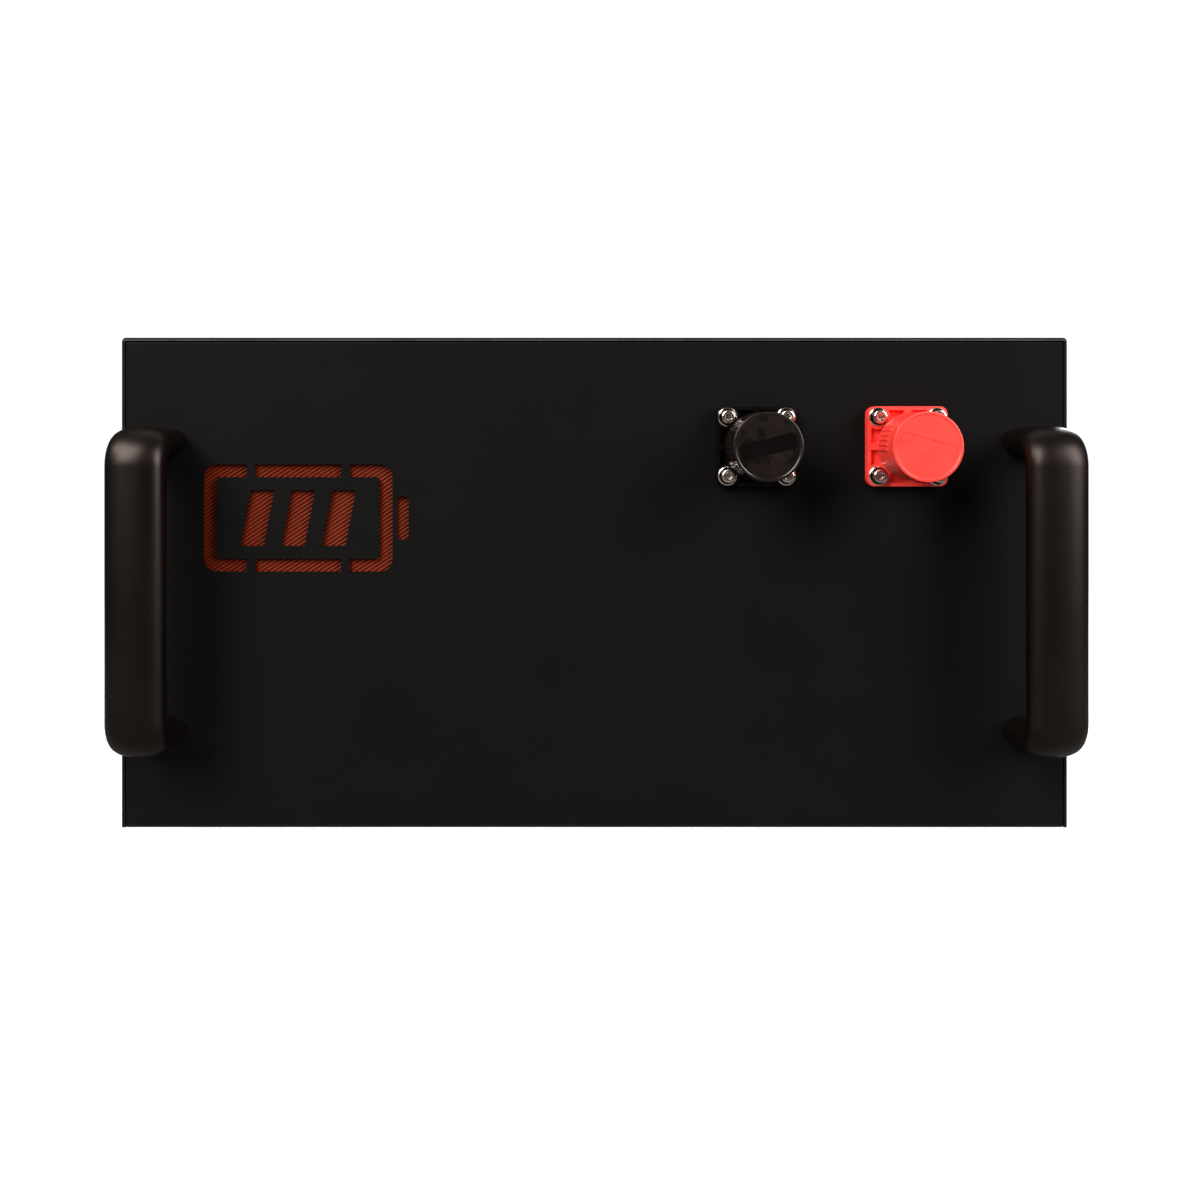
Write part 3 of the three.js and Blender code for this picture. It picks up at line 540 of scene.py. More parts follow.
badge = {"width": 88, "height": 50, "stroke": 6, "bridge": 4, "margin": 8, "nubWidth": 5.5, "nubHeight": 20,
         "barWidth": 11, "barPitch": 19, "barSlant": 5, "barCount": 3, "barCorner": 0.8}
ribs = {"pitch": 1.6, "depth": 0.45, "lean": 33, "steps": 6, "thickness": 1.2}
badgeLow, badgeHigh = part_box("badge_backing")
badgeFront = badgeLow.y
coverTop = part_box("cover")[1].z
badgeX = badgeLow.x + (badge["width"] / 2 + badge["margin"]) * mm
badgeCentre = Vector((badgeX, frontY, (badgeLow.z + badgeHigh.z) / 2))


# a flat-sided plate of given corner radius, standing across the panel
def addPlate(name, centre, halfWidth, halfHeight, cornerRadius, start, end):
    low = centre + Vector((-halfWidth, -end, -halfHeight))
    high = centre + Vector((halfWidth, -start, halfHeight))
    piece = addBlock(name, low, high)
    startEdit(piece)
    choose(piece, "edges", lambda edge: abs(runOf(edge).y) > 0.9)
    bpy.ops.mesh.bevel(offset=cornerRadius, segments=6, affect="EDGES")
    endEdit()
    return piece


def makeBadgeCutter(inside, outside):
    halfWidth, halfHeight = badge["width"] / 2 * mm, badge["height"] / 2 * mm
    stroke, bridge = badge["stroke"] * mm, badge["bridge"] * mm
    cutter = addPlate("tool", badgeCentre, halfWidth, halfHeight, stroke, inside, outside)
    island = addPlate(
        "tool", badgeCentre, halfWidth - stroke, halfHeight - stroke, stroke / 3, 2 * inside, 2 * outside)
    carve(cutter, island)
    for side in (-1, 1):
        at = badgeCentre + Vector((side * halfWidth / 2, 0, 0))
        low = at + Vector((-bridge / 2, -2 * outside, -2 * halfHeight))
        high = at + Vector((bridge / 2, -2 * inside, 2 * halfHeight))
        carve(cutter, addBlock("tool", low, high))
    nubHalf = badge["nubWidth"] / 2 * mm
    nubAt = badgeCentre + Vector((halfWidth + bridge / 2 + nubHalf, 0, 0))
    parts = [addPlate("tool", nubAt, nubHalf, badge["nubHeight"] / 2 * mm, nubHalf / 2, inside, outside)]
    for index in range(badge["barCount"]):
        offset = (index - (badge["barCount"] - 1) / 2) * badge["barPitch"] * mm
        at = badgeCentre + Vector((offset, 0, 0))
        tall = halfHeight - 2 * stroke
        bar = addPlate("tool", at, badge["barWidth"] / 2 * mm, tall, badge["barCorner"] * mm, inside, outside)
        lean = badge["barSlant"] / 2 * mm / tall
        for vertex in bar.data.vertices:
            vertex.co.x += (vertex.co.z - at.z) * lean
        parts.append(bar)
    return joinPieces(cutter, parts)


# a ribbed plate: a fine grid pushed into ridges, turned to their lean, cut to size and given a flat back
def makeBadgeBacking():
    centre = (badgeLow + badgeHigh) / 2
    reach = (badgeHigh - badgeLow).length
    ridges = round(reach / (ribs["pitch"] * mm))
    deselectAll()
    bpy.ops.mesh.primitive_grid_add(
        x_subdivisions=ridges * ribs["steps"], y_subdivisions=1, size=reach, rotation=(math.pi / 2, 0, 0))
    piece = newPiece("badgeRibs")
    settle(piece)
    for vertex in piece.data.vertices:
        phase = (vertex.co.x / reach + 0.5) * ridges
        vertex.co.y += ribs["depth"] * mm * (1 - abs(math.cos(math.pi * phase)))
    turn = Matrix.Rotation(math.radians(90 - ribs["lean"]), 4, "Y")
    moved(piece, Matrix.Translation((centre.x, badgeFront, centre.z)) @ turn)
    startEdit(piece)
    sides = [(badgeLow, (-1, 0, 0)), (badgeLow, (0, 0, -1)), (badgeHigh, (1, 0, 0)), (badgeHigh, (0, 0, 1))]
    for place, across in sides:
        bpy.ops.mesh.select_all(action="SELECT")
        bpy.ops.mesh.bisect(plane_co=place, plane_no=across, clear_outer=True)
    bpy.ops.mesh.select_all(action="SELECT")
    bpy.ops.mesh.extrude_region_move(TRANSFORM_OT_translate={"value": (0, ribs["thickness"] * mm, 0)})
    mesh = bmesh.from_edit_mesh(piece.data)
    for vertex in mesh.verts:
        if vertex.select:
            vertex.co.y = badgeFront + ribs["thickness"] * mm
    bmesh.update_edit_mesh(piece.data)
    bpy.ops.mesh.select_all(action="SELECT")
    bpy.ops.mesh.normals_make_consistent(inside=False)
    endEdit()
    smooth(piece, 45)
    return piece


handle = {"crown": 7, "back": 7.5, "fullness": 2.25, "bend": 11, "reach": 31, "sectionSteps": 48,
          "bendSteps": 12, "seat": 0.1, "seam": 0.4, "seamHalf": 0.4, "holeStart": -2, "holePast": 0.3}


def makeHandle(node):
    low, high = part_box(node)
    centre = (low + high) / 2
    halfWidth = (high.x - low.x) / 2
    crown, back = handle["crown"] * mm, handle["back"] * mm
    bend, reach = handle["bend"] * mm, handle["reach"] * mm
    legs = (high.z - low.z) / 2 - crown
    footY = frontY - handle["seat"] * mm
    foot = Vector((centre.x, footY, centre.z - legs))
    deselectAll()
    bpy.ops.mesh.primitive_circle_add(
        vertices=handle["sectionSteps"], radius=1, fill_type="NGON",
        location=foot, rotation=(math.pi / 2, 0, 0))
    piece = newPiece(node.replace("handle_", "grip_"))
    settle(piece)
    power = 2 / handle["fullness"]
    for vertex in piece.data.vertices:
        across, up = vertex.co.x - foot.x, vertex.co.z - foot.z
        depth = back if up > 0 else crown
        vertex.co.x = foot.x + math.copysign(abs(across) ** power, across) * halfWidth
        vertex.co.z = foot.z + math.copysign(abs(up) ** power, up) * depth
    startEdit(piece)
    bpy.ops.mesh.select_all(action="SELECT")
    leg, grip = reach - bend, 2 * (legs - bend)
    runs = [(0, -leg, 0), (0, 0, grip), (0, leg, 0)]
    turns = [(footY - leg, foot.z + bend), (footY - leg, centre.z + legs - bend)]
    for index, run in enumerate(runs):
        bpy.ops.mesh.extrude_region_move(TRANSFORM_OT_translate={"value": run})
        if index < len(turns):
            bpy.ops.mesh.spin(steps=handle["bendSteps"], angle=math.pi / 2,
                              center=(centre.x, *turns[index]), axis=(1, 0, 0))
    bpy.ops.mesh.select_all(action="SELECT")
    bpy.ops.mesh.remove_doubles(threshold=hair / 2)
    bpy.ops.mesh.normals_make_consistent(inside=False)
    addSeam(piece, centre.x, halfWidth)
    endEdit()
    for end in ("bottom_", "top_"):
        screwLow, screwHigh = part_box(node.replace("handle_", "handle_screw_" + end))
        at = Vector((centre.x, frontY, (screwLow.z + screwHigh.z) / 2))
        holeEnd = frontY - screwLow.y + handle["holePast"] * mm
        carve(piece, addBar("tool", at, holes["handle"] * mm, handle["holeStart"] * mm, holeEnd))
    smooth(piece, 50)
    return piece


# the mould's parting line, a fine raised seam along the widest place
def addSeam(piece, middle, halfWidth):
    def isWidest(vertex):
        return abs(abs(vertex.co.x - middle) - halfWidth) < tiny

    choose(piece, "edges", lambda edge: all(isWidest(v) for v in edge.verts))
    bpy.ops.mesh.bevel(offset=handle["seamHalf"] * mm, segments=2, affect="EDGES")
    choose(piece, "verts", isWidest)
    mesh = bmesh.from_edit_mesh(piece.data)
    for vertex in mesh.verts:
        if vertex.select:
            vertex.co.x += math.copysign(handle["seam"] * mm, vertex.co.x - middle)
    bmesh.update_edit_mesh(piece.data)


terminal = {"flange": 5, "trim": 0.5, "corner": 3.5, "rim": 1.7, "web": 3.2, "pocket": 3.2, "boss": 5.6,
            "collar": 13.5, "collarTop": 10, "collarSink": 0.2, "collarTuck": 0.5, "barrel": 12.6, "barrelTop": 20,
            "spigot": 11, "spigotEnd": -10.5, "inset": 5.4, "groove": 1, "grooveHalf": 1.3, "seat": 0.1,
            "stud": 4.3, "through": 40, "edgeRound": 0.22}


def terminalCentre(colour):
    low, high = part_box(colour + "_terminal_base")
    return Vector(((low.x + high.x) / 2, frontY, (low.z + high.z) / 2))


def flangeHalf():
    low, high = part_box("red_terminal_base")
    return (high.x - low.x) / 2


def screwPlaces():
    offset = flangeHalf() - terminal["inset"] * mm
    return [Vector((x * offset, 0, z * offset)) for x, z in corners.values()]


def makeTerminalBase(colour):
    centre = terminalCentre(colour)
    half = flangeHalf()
    top, floor = terminal["flange"] * mm, (terminal["flange"] - terminal["pocket"]) * mm
    name = colour + "TerminalBody"
    plate = half - terminal["trim"] * mm
    piece = addPlate(name, centre, plate, plate, terminal["corner"] * mm, terminal["seat"] * mm, top)
    inside = plate - terminal["rim"] * mm
    pockets = addBlock(
        "tool", centre + Vector((-inside, -top - mm, -inside)), centre + Vector((inside, -floor, inside)))
    core = (terminal["collar"] - terminal["collarTuck"]) * mm
    carve(pockets, addBar("tool", centre, core, -mm, 3 * top, 64))
    web = terminal["web"] / 2 * mm
    for wide, tall in ((web, 2 * half), (2 * half, web)):
        tool = addBlock("tool", centre + Vector((-wide, -3 * top, -tall)), centre + Vector((wide, mm, tall)))
        carve(pockets, tool)
    for at in screwPlaces():
        carve(pockets, addBar("tool", centre + at, terminal["boss"] * mm, -mm, 3 * top, 32))
    carve(piece, pockets)
    middle = sealMiddle(colour)
    grooveStart, grooveEnd = middle - terminal["grooveHalf"], middle + terminal["grooveHalf"]
    groove, outer, collar = terminal["barrel"] - terminal["groove"], terminal["barrel"], terminal["collar"]
    barrel = spinPiece("tool", [
        (0, terminal["spigotEnd"]), (terminal["spigot"], terminal["spigotEnd"]),
        (terminal["spigot"], terminal["collarSink"]), (collar, terminal["collarSink"]),
        (collar, terminal["collarTop"]), (outer, terminal["collarTop"]), (outer, grooveStart),
        (groove, grooveStart), (groove, grooveEnd), (outer, grooveEnd), (outer, terminal["barrelTop"]),
        (0, terminal["barrelTop"])], centre, 64)
    carve(piece, barrel, "UNION")
    through = terminal["through"] * mm
    carve(piece, addBar("tool", centre, terminal["stud"] * mm, -through, through, 32))
    for at in screwPlaces():
        carve(piece, addBar("tool", centre + at, holes["screw"] * mm, -2 * mm, 2 * top))
    weld(piece)
    softenEdges(piece, terminal["edgeRound"] * mm, segments=3)
    weld(piece)
    return piece


def sealMiddle(colour):
    low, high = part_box(colour + "_cap_seal")
    return (frontY - (low.y + high.y) / 2) / mm


seal = {"grooveGap": 0.3, "squareness": 0.6, "steps": 12}


def makeSeal(colour):
    low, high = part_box(colour + "_cap_seal")
    outer, half = (high.x - low.x) / 2 / mm, (high.y - low.y) / 2 / mm
    inner = terminal["barrel"] - terminal["groove"] + seal["grooveGap"]
    middle = sealMiddle(colour)
    bulge = (outer - inner) / 2
    profile = []
    for index in range(seal["steps"] + 1):
        angle = index / seal["steps"] * 2 * math.pi
        across = math.copysign(abs(math.cos(angle)) ** seal["squareness"], math.cos(angle))
        along = math.copysign(abs(math.sin(angle)) ** seal["squareness"], math.sin(angle))
        profile.append(((inner + outer) / 2 + bulge * across, middle + half * along))
    piece = spinPiece(colour + "SealRing", profile, terminalCentre(colour), 64)
    smooth(piece, 60)
    return piece


cap = {"wall": 1.8, "floor": 2, "rim": 1.2, "rimHeight": 0.3, "barWidth": 7, "barDepth": 0.24, "barEnd": 1.6,
       "ribCount": 6, "ribPitch": 8.2, "ribHeight": 0.5, "ribWidth": 1.1, "ribStart": 2.5, "ribEnd": 9.5,
       "ribRoot": 0.8, "turn": {"black": 14, "red": -16}, "edgeRound": 0.3, "gap": 1.1, "rimRound": 0.5,
       "rimNip": 0.15, "rimSlope": 0.35, "barCorner": 1.6, "barKeep": 1.2, "sides": 96}


def makeCap(colour):
    centre = terminalCentre(colour)
    low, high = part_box(colour + "_cap")
    lift, reach = (frontY - high.y) / mm, (frontY - low.y) / mm
    inner = terminal["barrel"] + cap["gap"]
    outer = inner + cap["wall"]
    face, under = reach - cap["rimHeight"], reach - cap["floor"]
    rimInner = outer - cap["rim"]
    rimRound, nip = cap["rimRound"], cap["rimNip"]
    piece = spinPiece(colour + "CapShell", [
        (0, under), (inner, under), (inner, lift), (outer, lift),
        (outer, reach - rimRound), (outer - nip, reach - nip), (outer - rimRound, reach), (rimInner + nip, reach),
        (rimInner - cap["rimSlope"], face), (0, face)], centre, cap["sides"])
    halfLong, halfWide = (rimInner - cap["barEnd"]) * mm, cap["barWidth"] / 2 * mm
    recess = addPlate("tool", centre, halfLong, halfWide, cap["barCorner"] * mm,
                      (face - cap["barDepth"]) * mm, (reach + 2) * mm)
    keep = addBar("tool", centre, (rimInner - cap["barKeep"]) * mm, (face - 2) * mm, (reach + 3) * mm, cap["sides"])
    carve(recess, keep, "INTERSECT")
    carve(piece, recess)
    toothHalf = cap["ribWidth"] / 2 * mm
    toothLow = centre + Vector(((outer - cap["ribRoot"]) * mm, -(reach - cap["ribEnd"]) * mm, -toothHalf))
    toothHigh = centre + Vector(((outer + cap["ribHeight"]) * mm, -(lift + cap["ribStart"]) * mm, toothHalf))
    teeth = []
    for side in (0, 180):
        for index in range(cap["ribCount"]):
            angle = side + (index - (cap["ribCount"] - 1) / 2) * cap["ribPitch"]
            teeth.append(moved(addBlock("tool", toothLow, toothHigh), turnAbout(centre, angle)))
    carve(piece, joinPieces(teeth[0], teeth[1:]), "UNION")
    softenEdges(piece, cap["edgeRound"] * mm, segments=3)
    moved(piece, turnAbout(centre, cap["turn"][colour]))
    return piece


screw = {"shank": 2, "washer": 4.4, "washerSlope": 0.55, "washerTop": 0.8, "washerBore": 2.15, "washerNip": 0.15,
         "washerRim": 0.4, "spring": 3.45, "springTop": 1.75, "springBore": 2.2, "springNip": 0.25,
         "springGap": 0.05, "slitHalf": 0.35, "slitEnd": 6, "head": 3.15, "headTop": 4.9, "headRound": 0.6,
         "roundShare": 0.3, "socket": 3, "socketDepth": 2.3, "start": -4.5, "sides": 40, "springSoft": 0.1,
         "headSoft": 0.12, "turnStep": 37, "firstTurn": {"black": 0, "red": 61}}


# a plain washer, a split spring washer and a socket head screw, joined as one piece
def makeTerminalScrew(name, centre, turn):
    seat, bore, nip = terminal["flange"] + terminal["seat"], screw["washerBore"], screw["washerNip"]
    flat, edge = seat + screw["washerTop"], screw["washer"]
    washer = spinPiece(name, [
        (bore, seat), (edge - nip, seat), (edge, seat + nip), (edge, flat - screw["washerRim"]),
        (edge - screw["washerSlope"], flat), (bore, flat), (bore, seat)], centre, screw["sides"])
    ring, bore, nip = screw["spring"], screw["springBore"], screw["springNip"]
    low, high = flat + screw["springGap"], seat + screw["springTop"] - screw["springGap"]
    spring = spinPiece("tool", [
        (bore, low), (ring, low), (ring, high - nip), (ring - nip, high), (bore, high), (bore, low)],
        centre, screw["sides"])
    slitHalf = screw["slitHalf"] * mm
    carve(spring, addBlock("tool", centre + Vector((0, -(seat + 3) * mm, -slitHalf)),
                           centre + Vector((screw["slitEnd"] * mm, -seat * mm, slitHalf))))
    softenEdges(spring, screw["springSoft"] * mm)
    low, high, headRound = seat + screw["springTop"], seat + screw["headTop"], screw["headRound"]
    shank, edge, cut = screw["shank"], screw["head"], screw["roundShare"] * headRound
    head = spinPiece("tool", [
        (0, screw["start"]), (shank, screw["start"]), (shank, low), (edge, low), (edge, high - headRound),
        (edge - cut, high - cut), (edge - headRound, high), (0, high)], centre, screw["sides"])
    socketRadius = screw["socket"] / math.sqrt(3)  # a hexagon is measured across its flats
    carve(head, addBar("tool", centre, socketRadius * mm, (high - screw["socketDepth"]) * mm, (high + 3) * mm, 6))
    softenEdges(head, screw["headSoft"] * mm)
    smooth(washer, 35)
    piece = joinPieces(washer, [spring, head])
    moved(piece, turnAbout(centre, turn))
    return piece


coverScrew = {"head": 3.6, "top": 2.2, "shank": 2, "length": 6, "cross": 0.55, "crossLong": 2.1, "crossDepth": 1.3,
              "domeFoot": 0.7, "domeSteps": 6, "sides": 32, "soft": 0.1}


def makeCoverScrew(name, pattern):
    low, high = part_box(name)
    side = 1 if high.x > 0 else -1
    seat = (high.x if side > 0 else low.x) - side * coverScrew["top"] * mm
    place = Matrix.Translation((seat, (low.y + high.y) / 2, (low.z + high.z) / 2))
    twin = copyOf(pattern, name.replace("cover_screw_", "sideScrew_"))
    return moved(twin, place @ Matrix.Rotation(side * math.pi / 2, 4, "Z"))


def makeCoverScrewPattern():
    head, top, foot = coverScrew["head"], coverScrew["top"], coverScrew["domeFoot"]
    angles = [math.radians(90 / coverScrew["domeSteps"] * step) for step in range(coverScrew["domeSteps"])]
    dome = [(head * math.cos(angle), foot + (top - foot) * math.sin(angle)) for angle in angles]
    piece = spinPiece("screwPattern", [
        (0, -coverScrew["length"]), (coverScrew["shank"], -coverScrew["length"]), (coverScrew["shank"], 0),
        (head, 0), *dome, (0, top)], Vector((0, 0, 0)), coverScrew["sides"])
    long, narrow, floor = coverScrew["crossLong"], coverScrew["cross"], top - coverScrew["crossDepth"]
    for wide, tall in ((long, narrow), (narrow, long)):
        carve(piece, addBlock("tool", (-wide * mm, -4 * mm, -tall * mm), (wide * mm, -floor * mm, tall * mm)))
    softenEdges(piece, coverScrew["soft"] * mm)
    return piece


stud = {"radius": 4, "core": 3.4, "pitch": 1.25, "contact": 8.5, "back": -23, "bench": 20.1, "benchTop": 22,
        "tip": 32, "runOut": 0.6, "plain": 8, "tipRun": 0.9, "tipNip": 0.5, "sides": 40, "soft": 0.08}


# two threaded lengths with a plain length and the contact shoulder between them
def makeStud(colour):
    radius, core, pitch, runOut = stud["radius"], stud["core"], stud["pitch"], stud["runOut"]
    bench, benchTop, tip = stud["bench"], stud["benchTop"], stud["tip"]

    def threads(start, end):
        turns = [start + index * pitch for index in range(int((end - start) / pitch))]
        return [point for at in turns for point in ((core, at), (radius, at + pitch / 2))]

    inner = threads(stud["back"] + runOut, bench - stud["plain"])
    outer = threads(benchTop + runOut, tip - stud["tipRun"])
    innerEnd = inner[-1][1] + pitch / 2 + runOut
    profile = [(0, stud["back"]), (core, stud["back"]), *inner, (radius, innerEnd), (radius, bench),
               (stud["contact"], bench), (stud["contact"], benchTop), (radius, benchTop), *outer,
               (core, tip - runOut), (core - stud["tipNip"], tip), (0, tip)]
    piece = spinPiece(colour + "ThreadedStud", profile, terminalCentre(colour), stud["sides"])
    softenEdges(piece, stud["soft"] * mm, sharperThan=50, smoothTo=30)
    return piece


print("stage: case")
caseBody = makeCaseBody()
caseCover = makeCover()
badgePlate = makeBadgeBacking()

print("stage: handles")
grips = {node: makeHandle(node) for node in ("handle_left", "handle_right")}

print("stage: terminals")
terminalBodies = {colour: makeTerminalBase(colour) for colour in ("black", "red")}
caps = {colour: makeCap(colour) for colour in ("black", "red")}
seals = {colour: makeSeal(colour) for colour in ("black", "red")}
studs = {colour: makeStud(colour) for colour in ("black", "red")}

print("stage: fasteners")
terminalScrews = {}
for colour in ("black", "red"):
    for index, (corner, place) in enumerate(zip(corners, screwPlaces())):
        turn = screw["turnStep"] * index + screw["firstTurn"][colour]
        terminalScrews[f"{colour}_terminal_screw_{corner}"] = makeTerminalScrew(
            f"{colour}Screw_{corner}", terminalCentre(colour) + place, turn)
pattern = makeCoverScrewPattern()
coverScrews = {name: makeCoverScrew(name, pattern) for name in coverScrewNames}
bpy.data.objects.remove(pattern)

print("stage: materials")
powderCoat = makePowderCoat()
handlePlastic = makeFinish("handlePlastic", lookWith(
    dark=(0.0016, 0.0009, 0.0008), light=(0.0028, 0.0018, 0.0016), scuffColour=(0.010, 0.008, 0.007),
    grainPitch=1500.0, drift=22.0, scuffScale=60.0, scuffs=0.12, rough=(0.33, 0.39), bump=0.16),
    Specular_IOR_Level=0.3, Specular_Tint=(1.0, 0.84, 0.76, 1.0))[0]
capPlastic = makeCapPlastic()
blackPlastic = makeFinish("blackPlastic", lookWith(
    dark=(0.0016, 0.0014, 0.0011), light=(0.0030, 0.0026, 0.0022), scuffColour=(0.012, 0.010, 0.009),
    grainPitch=700.0, drift=75.0, scuffScale=110.0, scuffs=0.35, scuffRough=0.12, rough=(0.22, 0.34),
    bump=0.12, bumpDepth=0.00006), Specular_IOR_Level=0.2)[0]
redPlastic = makeFinish("redPlastic", lookWith(
    dark=(0.92, 0.048, 0.038), light=(0.97, 0.064, 0.050), scuffColour=(0.97, 0.12, 0.10),
    grainPitch=700.0, drift=60.0, scuffScale=110.0, scuffs=0.25, rough=(0.32, 0.44), bump=0.12,
    bumpDepth=0.00006), Specular_IOR_Level=0.4)[0]
brightSteel = makeSteel("brightSteel", (0.78, 0.64, 0.56), (0.98, 0.86, 0.78), (0.15, 0.26), 1500.0)
ringStart = terminal["flange"] + terminal["seat"] + screw["washerTop"]
ringShade = {"below": 0.08, "above": 0.95, "colour": (0.055, 0.045, 0.04)}
# painted shade over the spring ring, between the screw head and the washer
paintShadeBand(brightSteel, ringStart - ringShade["below"], ringStart + ringShade["above"], ringShade["colour"])
blackSteel = makeSteel("blackSteel", (0.020, 0.020, 0.021), (0.032, 0.032, 0.033), (0.34, 0.46), 1500.0)
brass = makeSteel("brass", (0.52, 0.33, 0.11), (0.75, 0.53, 0.22), (0.18, 0.3), 1200.0)
copper = makeSteel("copper", (0.52, 0.22, 0.12), (0.76, 0.38, 0.24), (0.24, 0.38), 900.0)
aluminium = makeSteel("aluminium", (0.46, 0.47, 0.49), (0.62, 0.63, 0.65), (0.3, 0.42), 1000.0)
orangeRibs = makeOrangeRibs()
sealRubber = makeFinish("sealRubber", lookWith(
    light=(0.013, 0.013, 0.013), rough=(0.62, 0.74)), Specular_IOR_Level=0.35)[0]
cellFilm = makeFinish("cellFilm", lookWith(
    dark=(0.010, 0.052, 0.20), light=(0.016, 0.075, 0.27), scuffColour=(0.04, 0.11, 0.32),
    grainPitch=220.0, drift=12.0, rough=(0.22, 0.36), bump=0.35, bumpDepth=0.0002), Specular_IOR_Level=0.5)[0]
glassSheet = makeFinish("glassSheet", lookWith(
    dark=(0.36, 0.30, 0.13), light=(0.46, 0.40, 0.20), scuffColour=(0.55, 0.5, 0.3), grainPitch=1800.0,
    rough=(0.4, 0.5)), Specular_IOR_Level=0.4)[0]
redJacket = makeFinish("redJacket", lookWith(
    dark=(0.30, 0.010, 0.010), light=(0.40, 0.018, 0.016), scuffColour=(0.45, 0.05, 0.05),
    rough=(0.5, 0.6)))[0]
blackJacket = makeFinish("blackJacket", lookWith(rough=(0.5, 0.6)))[0]


def finishPiece(piece, material, body, slot, *replaced):
    piece.data.materials.clear()
    piece.data.materials.append(material)
    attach(piece, body)
    if replaced:
        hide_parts(*replaced)


finishPiece(caseBody, powderCoat, "case", "powder_coat", "base_pan")
finishPiece(caseCover, powderCoat, "case", "powder_coat", "cover")
finishPiece(badgePlate, orangeRibs, "case", "orange_plate", "badge_backing")
for node, piece in grips.items():
    finishPiece(piece, handlePlastic, "case", "handle_plastic", node)
for colour, plastic, shell in (("black", blackPlastic, capPlastic), ("red", redPlastic, redPlastic)):
    finishPiece(terminalBodies[colour], plastic, "case", colour + "_plastic", colour + "_terminal_base")
    finishPiece(caps[colour], shell, colour + "_cap_body", colour + "_plastic", colour + "_cap")
    finishPiece(seals[colour], sealRubber, colour + "_seal_body", "seal_rubber", colour + "_cap_seal")
    finishPiece(studs[colour], brass, "case", "brass", colour + "_terminal_stud")
for node, piece in terminalScrews.items():
    finishPiece(piece, brightSteel, "case", "zinc_steel", node)
for node, piece in coverScrews.items():
    finishPiece(piece, blackSteel, "case", "black_steel", node)

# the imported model's own pieces inside the case keep their shape and take a better finish
slotFinish = {
    "zinc_steel": brightSteel, "cell_wrap": cellFilm, "copper": copper, "aluminium": aluminium,
    "insulation": glassSheet, "red_jacket": redJacket, "black_jacket": blackJacket, "brass": brass,
    "powder_coat": powderCoat, "orange_plate": orangeRibs, "handle_plastic": handlePlastic,
    "black_plastic": blackPlastic, "red_plastic": redPlastic, "black_steel": blackSteel,
    "seal_rubber": sealRubber,
}
for entry in frame["record"]["subparts"]:
    cadNode = nodes[entry["node"]]
    cadNode.data.materials.clear()
    cadNode.data.materials.append(slotFinish[entry["material_slot"]])

print("stage: studio")
studio = {"floorSize": 14, "floorDrop": 0.0003, "floorColour": (0.86, 0.86, 0.86), "floorShade": (0.17, 0.17, 0.17),
          "floorFade": (0.4, 1.0), "floorLift": 0.4, "worldGlow": (0.05, 1.05), "eyeBack": 0.58, "eyeX": -0.016,
          "eyeHeight": 0.18035, "sensor": 36, "clipStart": 0.01, "lens": 37.38, "shiftX": 0.0333,
          "shiftY": -0.1333}


def makeFloor():
    deselectAll()
    bpy.ops.mesh.primitive_plane_add(size=studio["floorSize"], location=(0, 0, -studio["floorDrop"]))
    floor = newPiece("studioFloor")
    material, tree, shader = startMaterial("paleFloor", Roughness=0.7, Specular_IOR_Level=0.1)
    seen = addNode(tree, "ShaderNodeLightPath").outputs["Is Camera Ray"]
    tone = mixColour(tree, seen, studio["floorShade"], studio["floorColour"])
    tree.links.new(tone, shader.inputs["Base Color"])
    shader.inputs["Emission Color"].default_value = (1, 1, 1, 1)
    lift = rangeNode(tree, seen, 0.0, 1.0, 0.0, studio["floorLift"])
    tree.links.new(lift, shader.inputs["Emission Strength"])
    place = addNode(tree, "ShaderNodeTexCoord").outputs["Object"]
    away = addNode(tree, "ShaderNodeVectorMath", {0: place}, operation="LENGTH").outputs["Value"]
    clear = addNode(tree, "ShaderNodeBsdfTransparent").outputs[0]
    share = rangeNode(tree, away, *studio["floorFade"])
    blend = addNode(tree, "ShaderNodeMixShader", {0: share, 1: shader.outputs[0], 2: clear}).outputs[0]
    tree.links.new(blend, tree.nodes["Material Output"].inputs["Surface"])
    floor.data.materials.append(material)


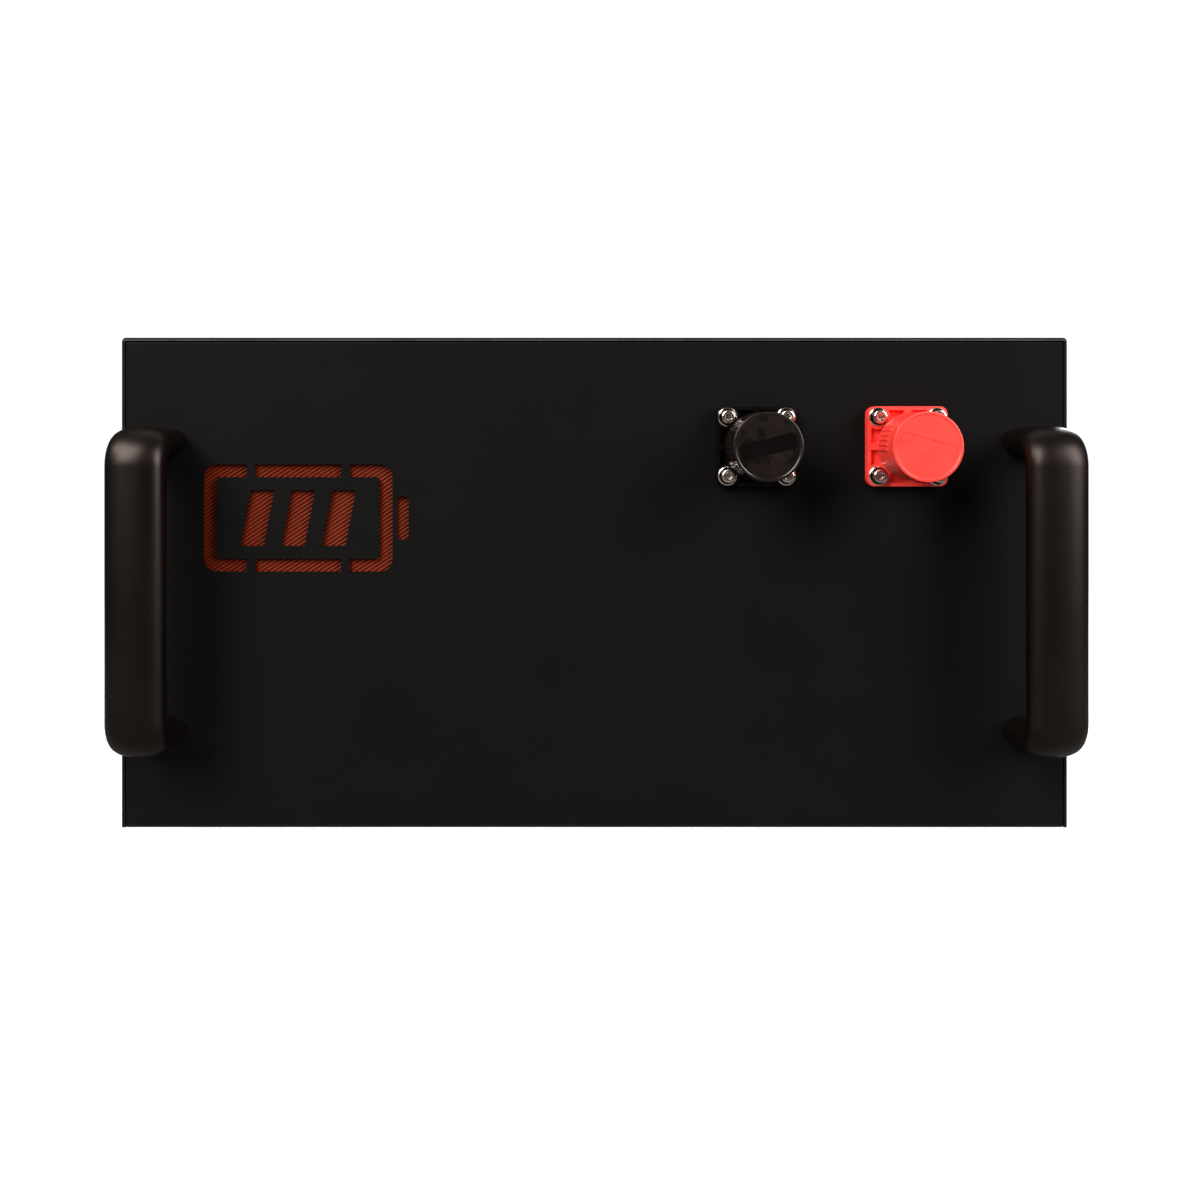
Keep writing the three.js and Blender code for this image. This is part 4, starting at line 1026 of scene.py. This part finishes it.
def makeLight(name, place, aim, width, height, power, colour):
    light = bpy.data.lights.new(name, "AREA")
    light.shape = "RECTANGLE"
    light.size, light.size_y = width, height
    light.energy = power
    light.color = colour
    lamp = bpy.data.objects.new(name, light)
    bpy.context.scene.collection.objects.link(lamp)
    lamp.location = place
    lamp.rotation_mode = "QUATERNION"
    lamp.rotation_quaternion = (Vector(aim) - Vector(place)).to_track_quat("-Z", "Y")


def makeWorld():
    world = bpy.data.worlds.new("studioWorld")
    bpy.context.scene.world = world
    world.use_nodes = True
    tree = world.node_tree
    backdrop = tree.nodes["Background"]
    backdrop.inputs["Color"].default_value = (1, 1, 1, 1)
    seen = addNode(tree, "ShaderNodeLightPath").outputs["Is Camera Ray"]
    tree.links.new(rangeNode(tree, seen, 0.0, 1.0, *studio["worldGlow"]), backdrop.inputs["Strength"])


def makeCamera():
    eye = bpy.data.cameras.new("studioCamera")
    eye.lens = studio["lens"]
    eye.sensor_width = studio["sensor"]
    eye.shift_x, eye.shift_y = studio["shiftX"], studio["shiftY"]
    eye.clip_start = studio["clipStart"]
    camera = bpy.data.objects.new("studioCamera", eye)
    bpy.context.scene.collection.objects.link(camera)
    camera.location = (studio["eyeX"], frontY - studio["eyeBack"], studio["eyeHeight"])
    camera.rotation_euler = (math.pi / 2, 0, 0)
    bpy.context.scene.camera = camera


makeFloor()
makeWorld()
makeCamera()
aim = (0, frontY, 0.11)
makeLight("keyLight", (-1.5, -2.25, 1.85), aim, 1.3, 2.1, 117, (1.0, 0.93, 0.88))
makeLight("fillLight", (2.2, -1.8, 1.35), aim, 1.3, 2.1, 99, (1.0, 0.95, 0.92))
makeLight("topLight", (0.0, 0.3, 1.8), (0, 0.1, 0.1), 1.6, 0.8, 2.5, (1.0, 0.98, 0.96))
makeLight("sideLight", (-1.2, -0.7, 1.2), aim, 0.6, 0.6, 10, (1.0, 0.96, 0.94))
makeLight("rearLight", (0.8, 1.9, 1.1), (0, 0.19, 0.11), 1.4, 1.2, 60, (1.0, 0.97, 0.95))
bpy.context.scene.view_settings.view_transform = "Standard"

print("stage: finished")
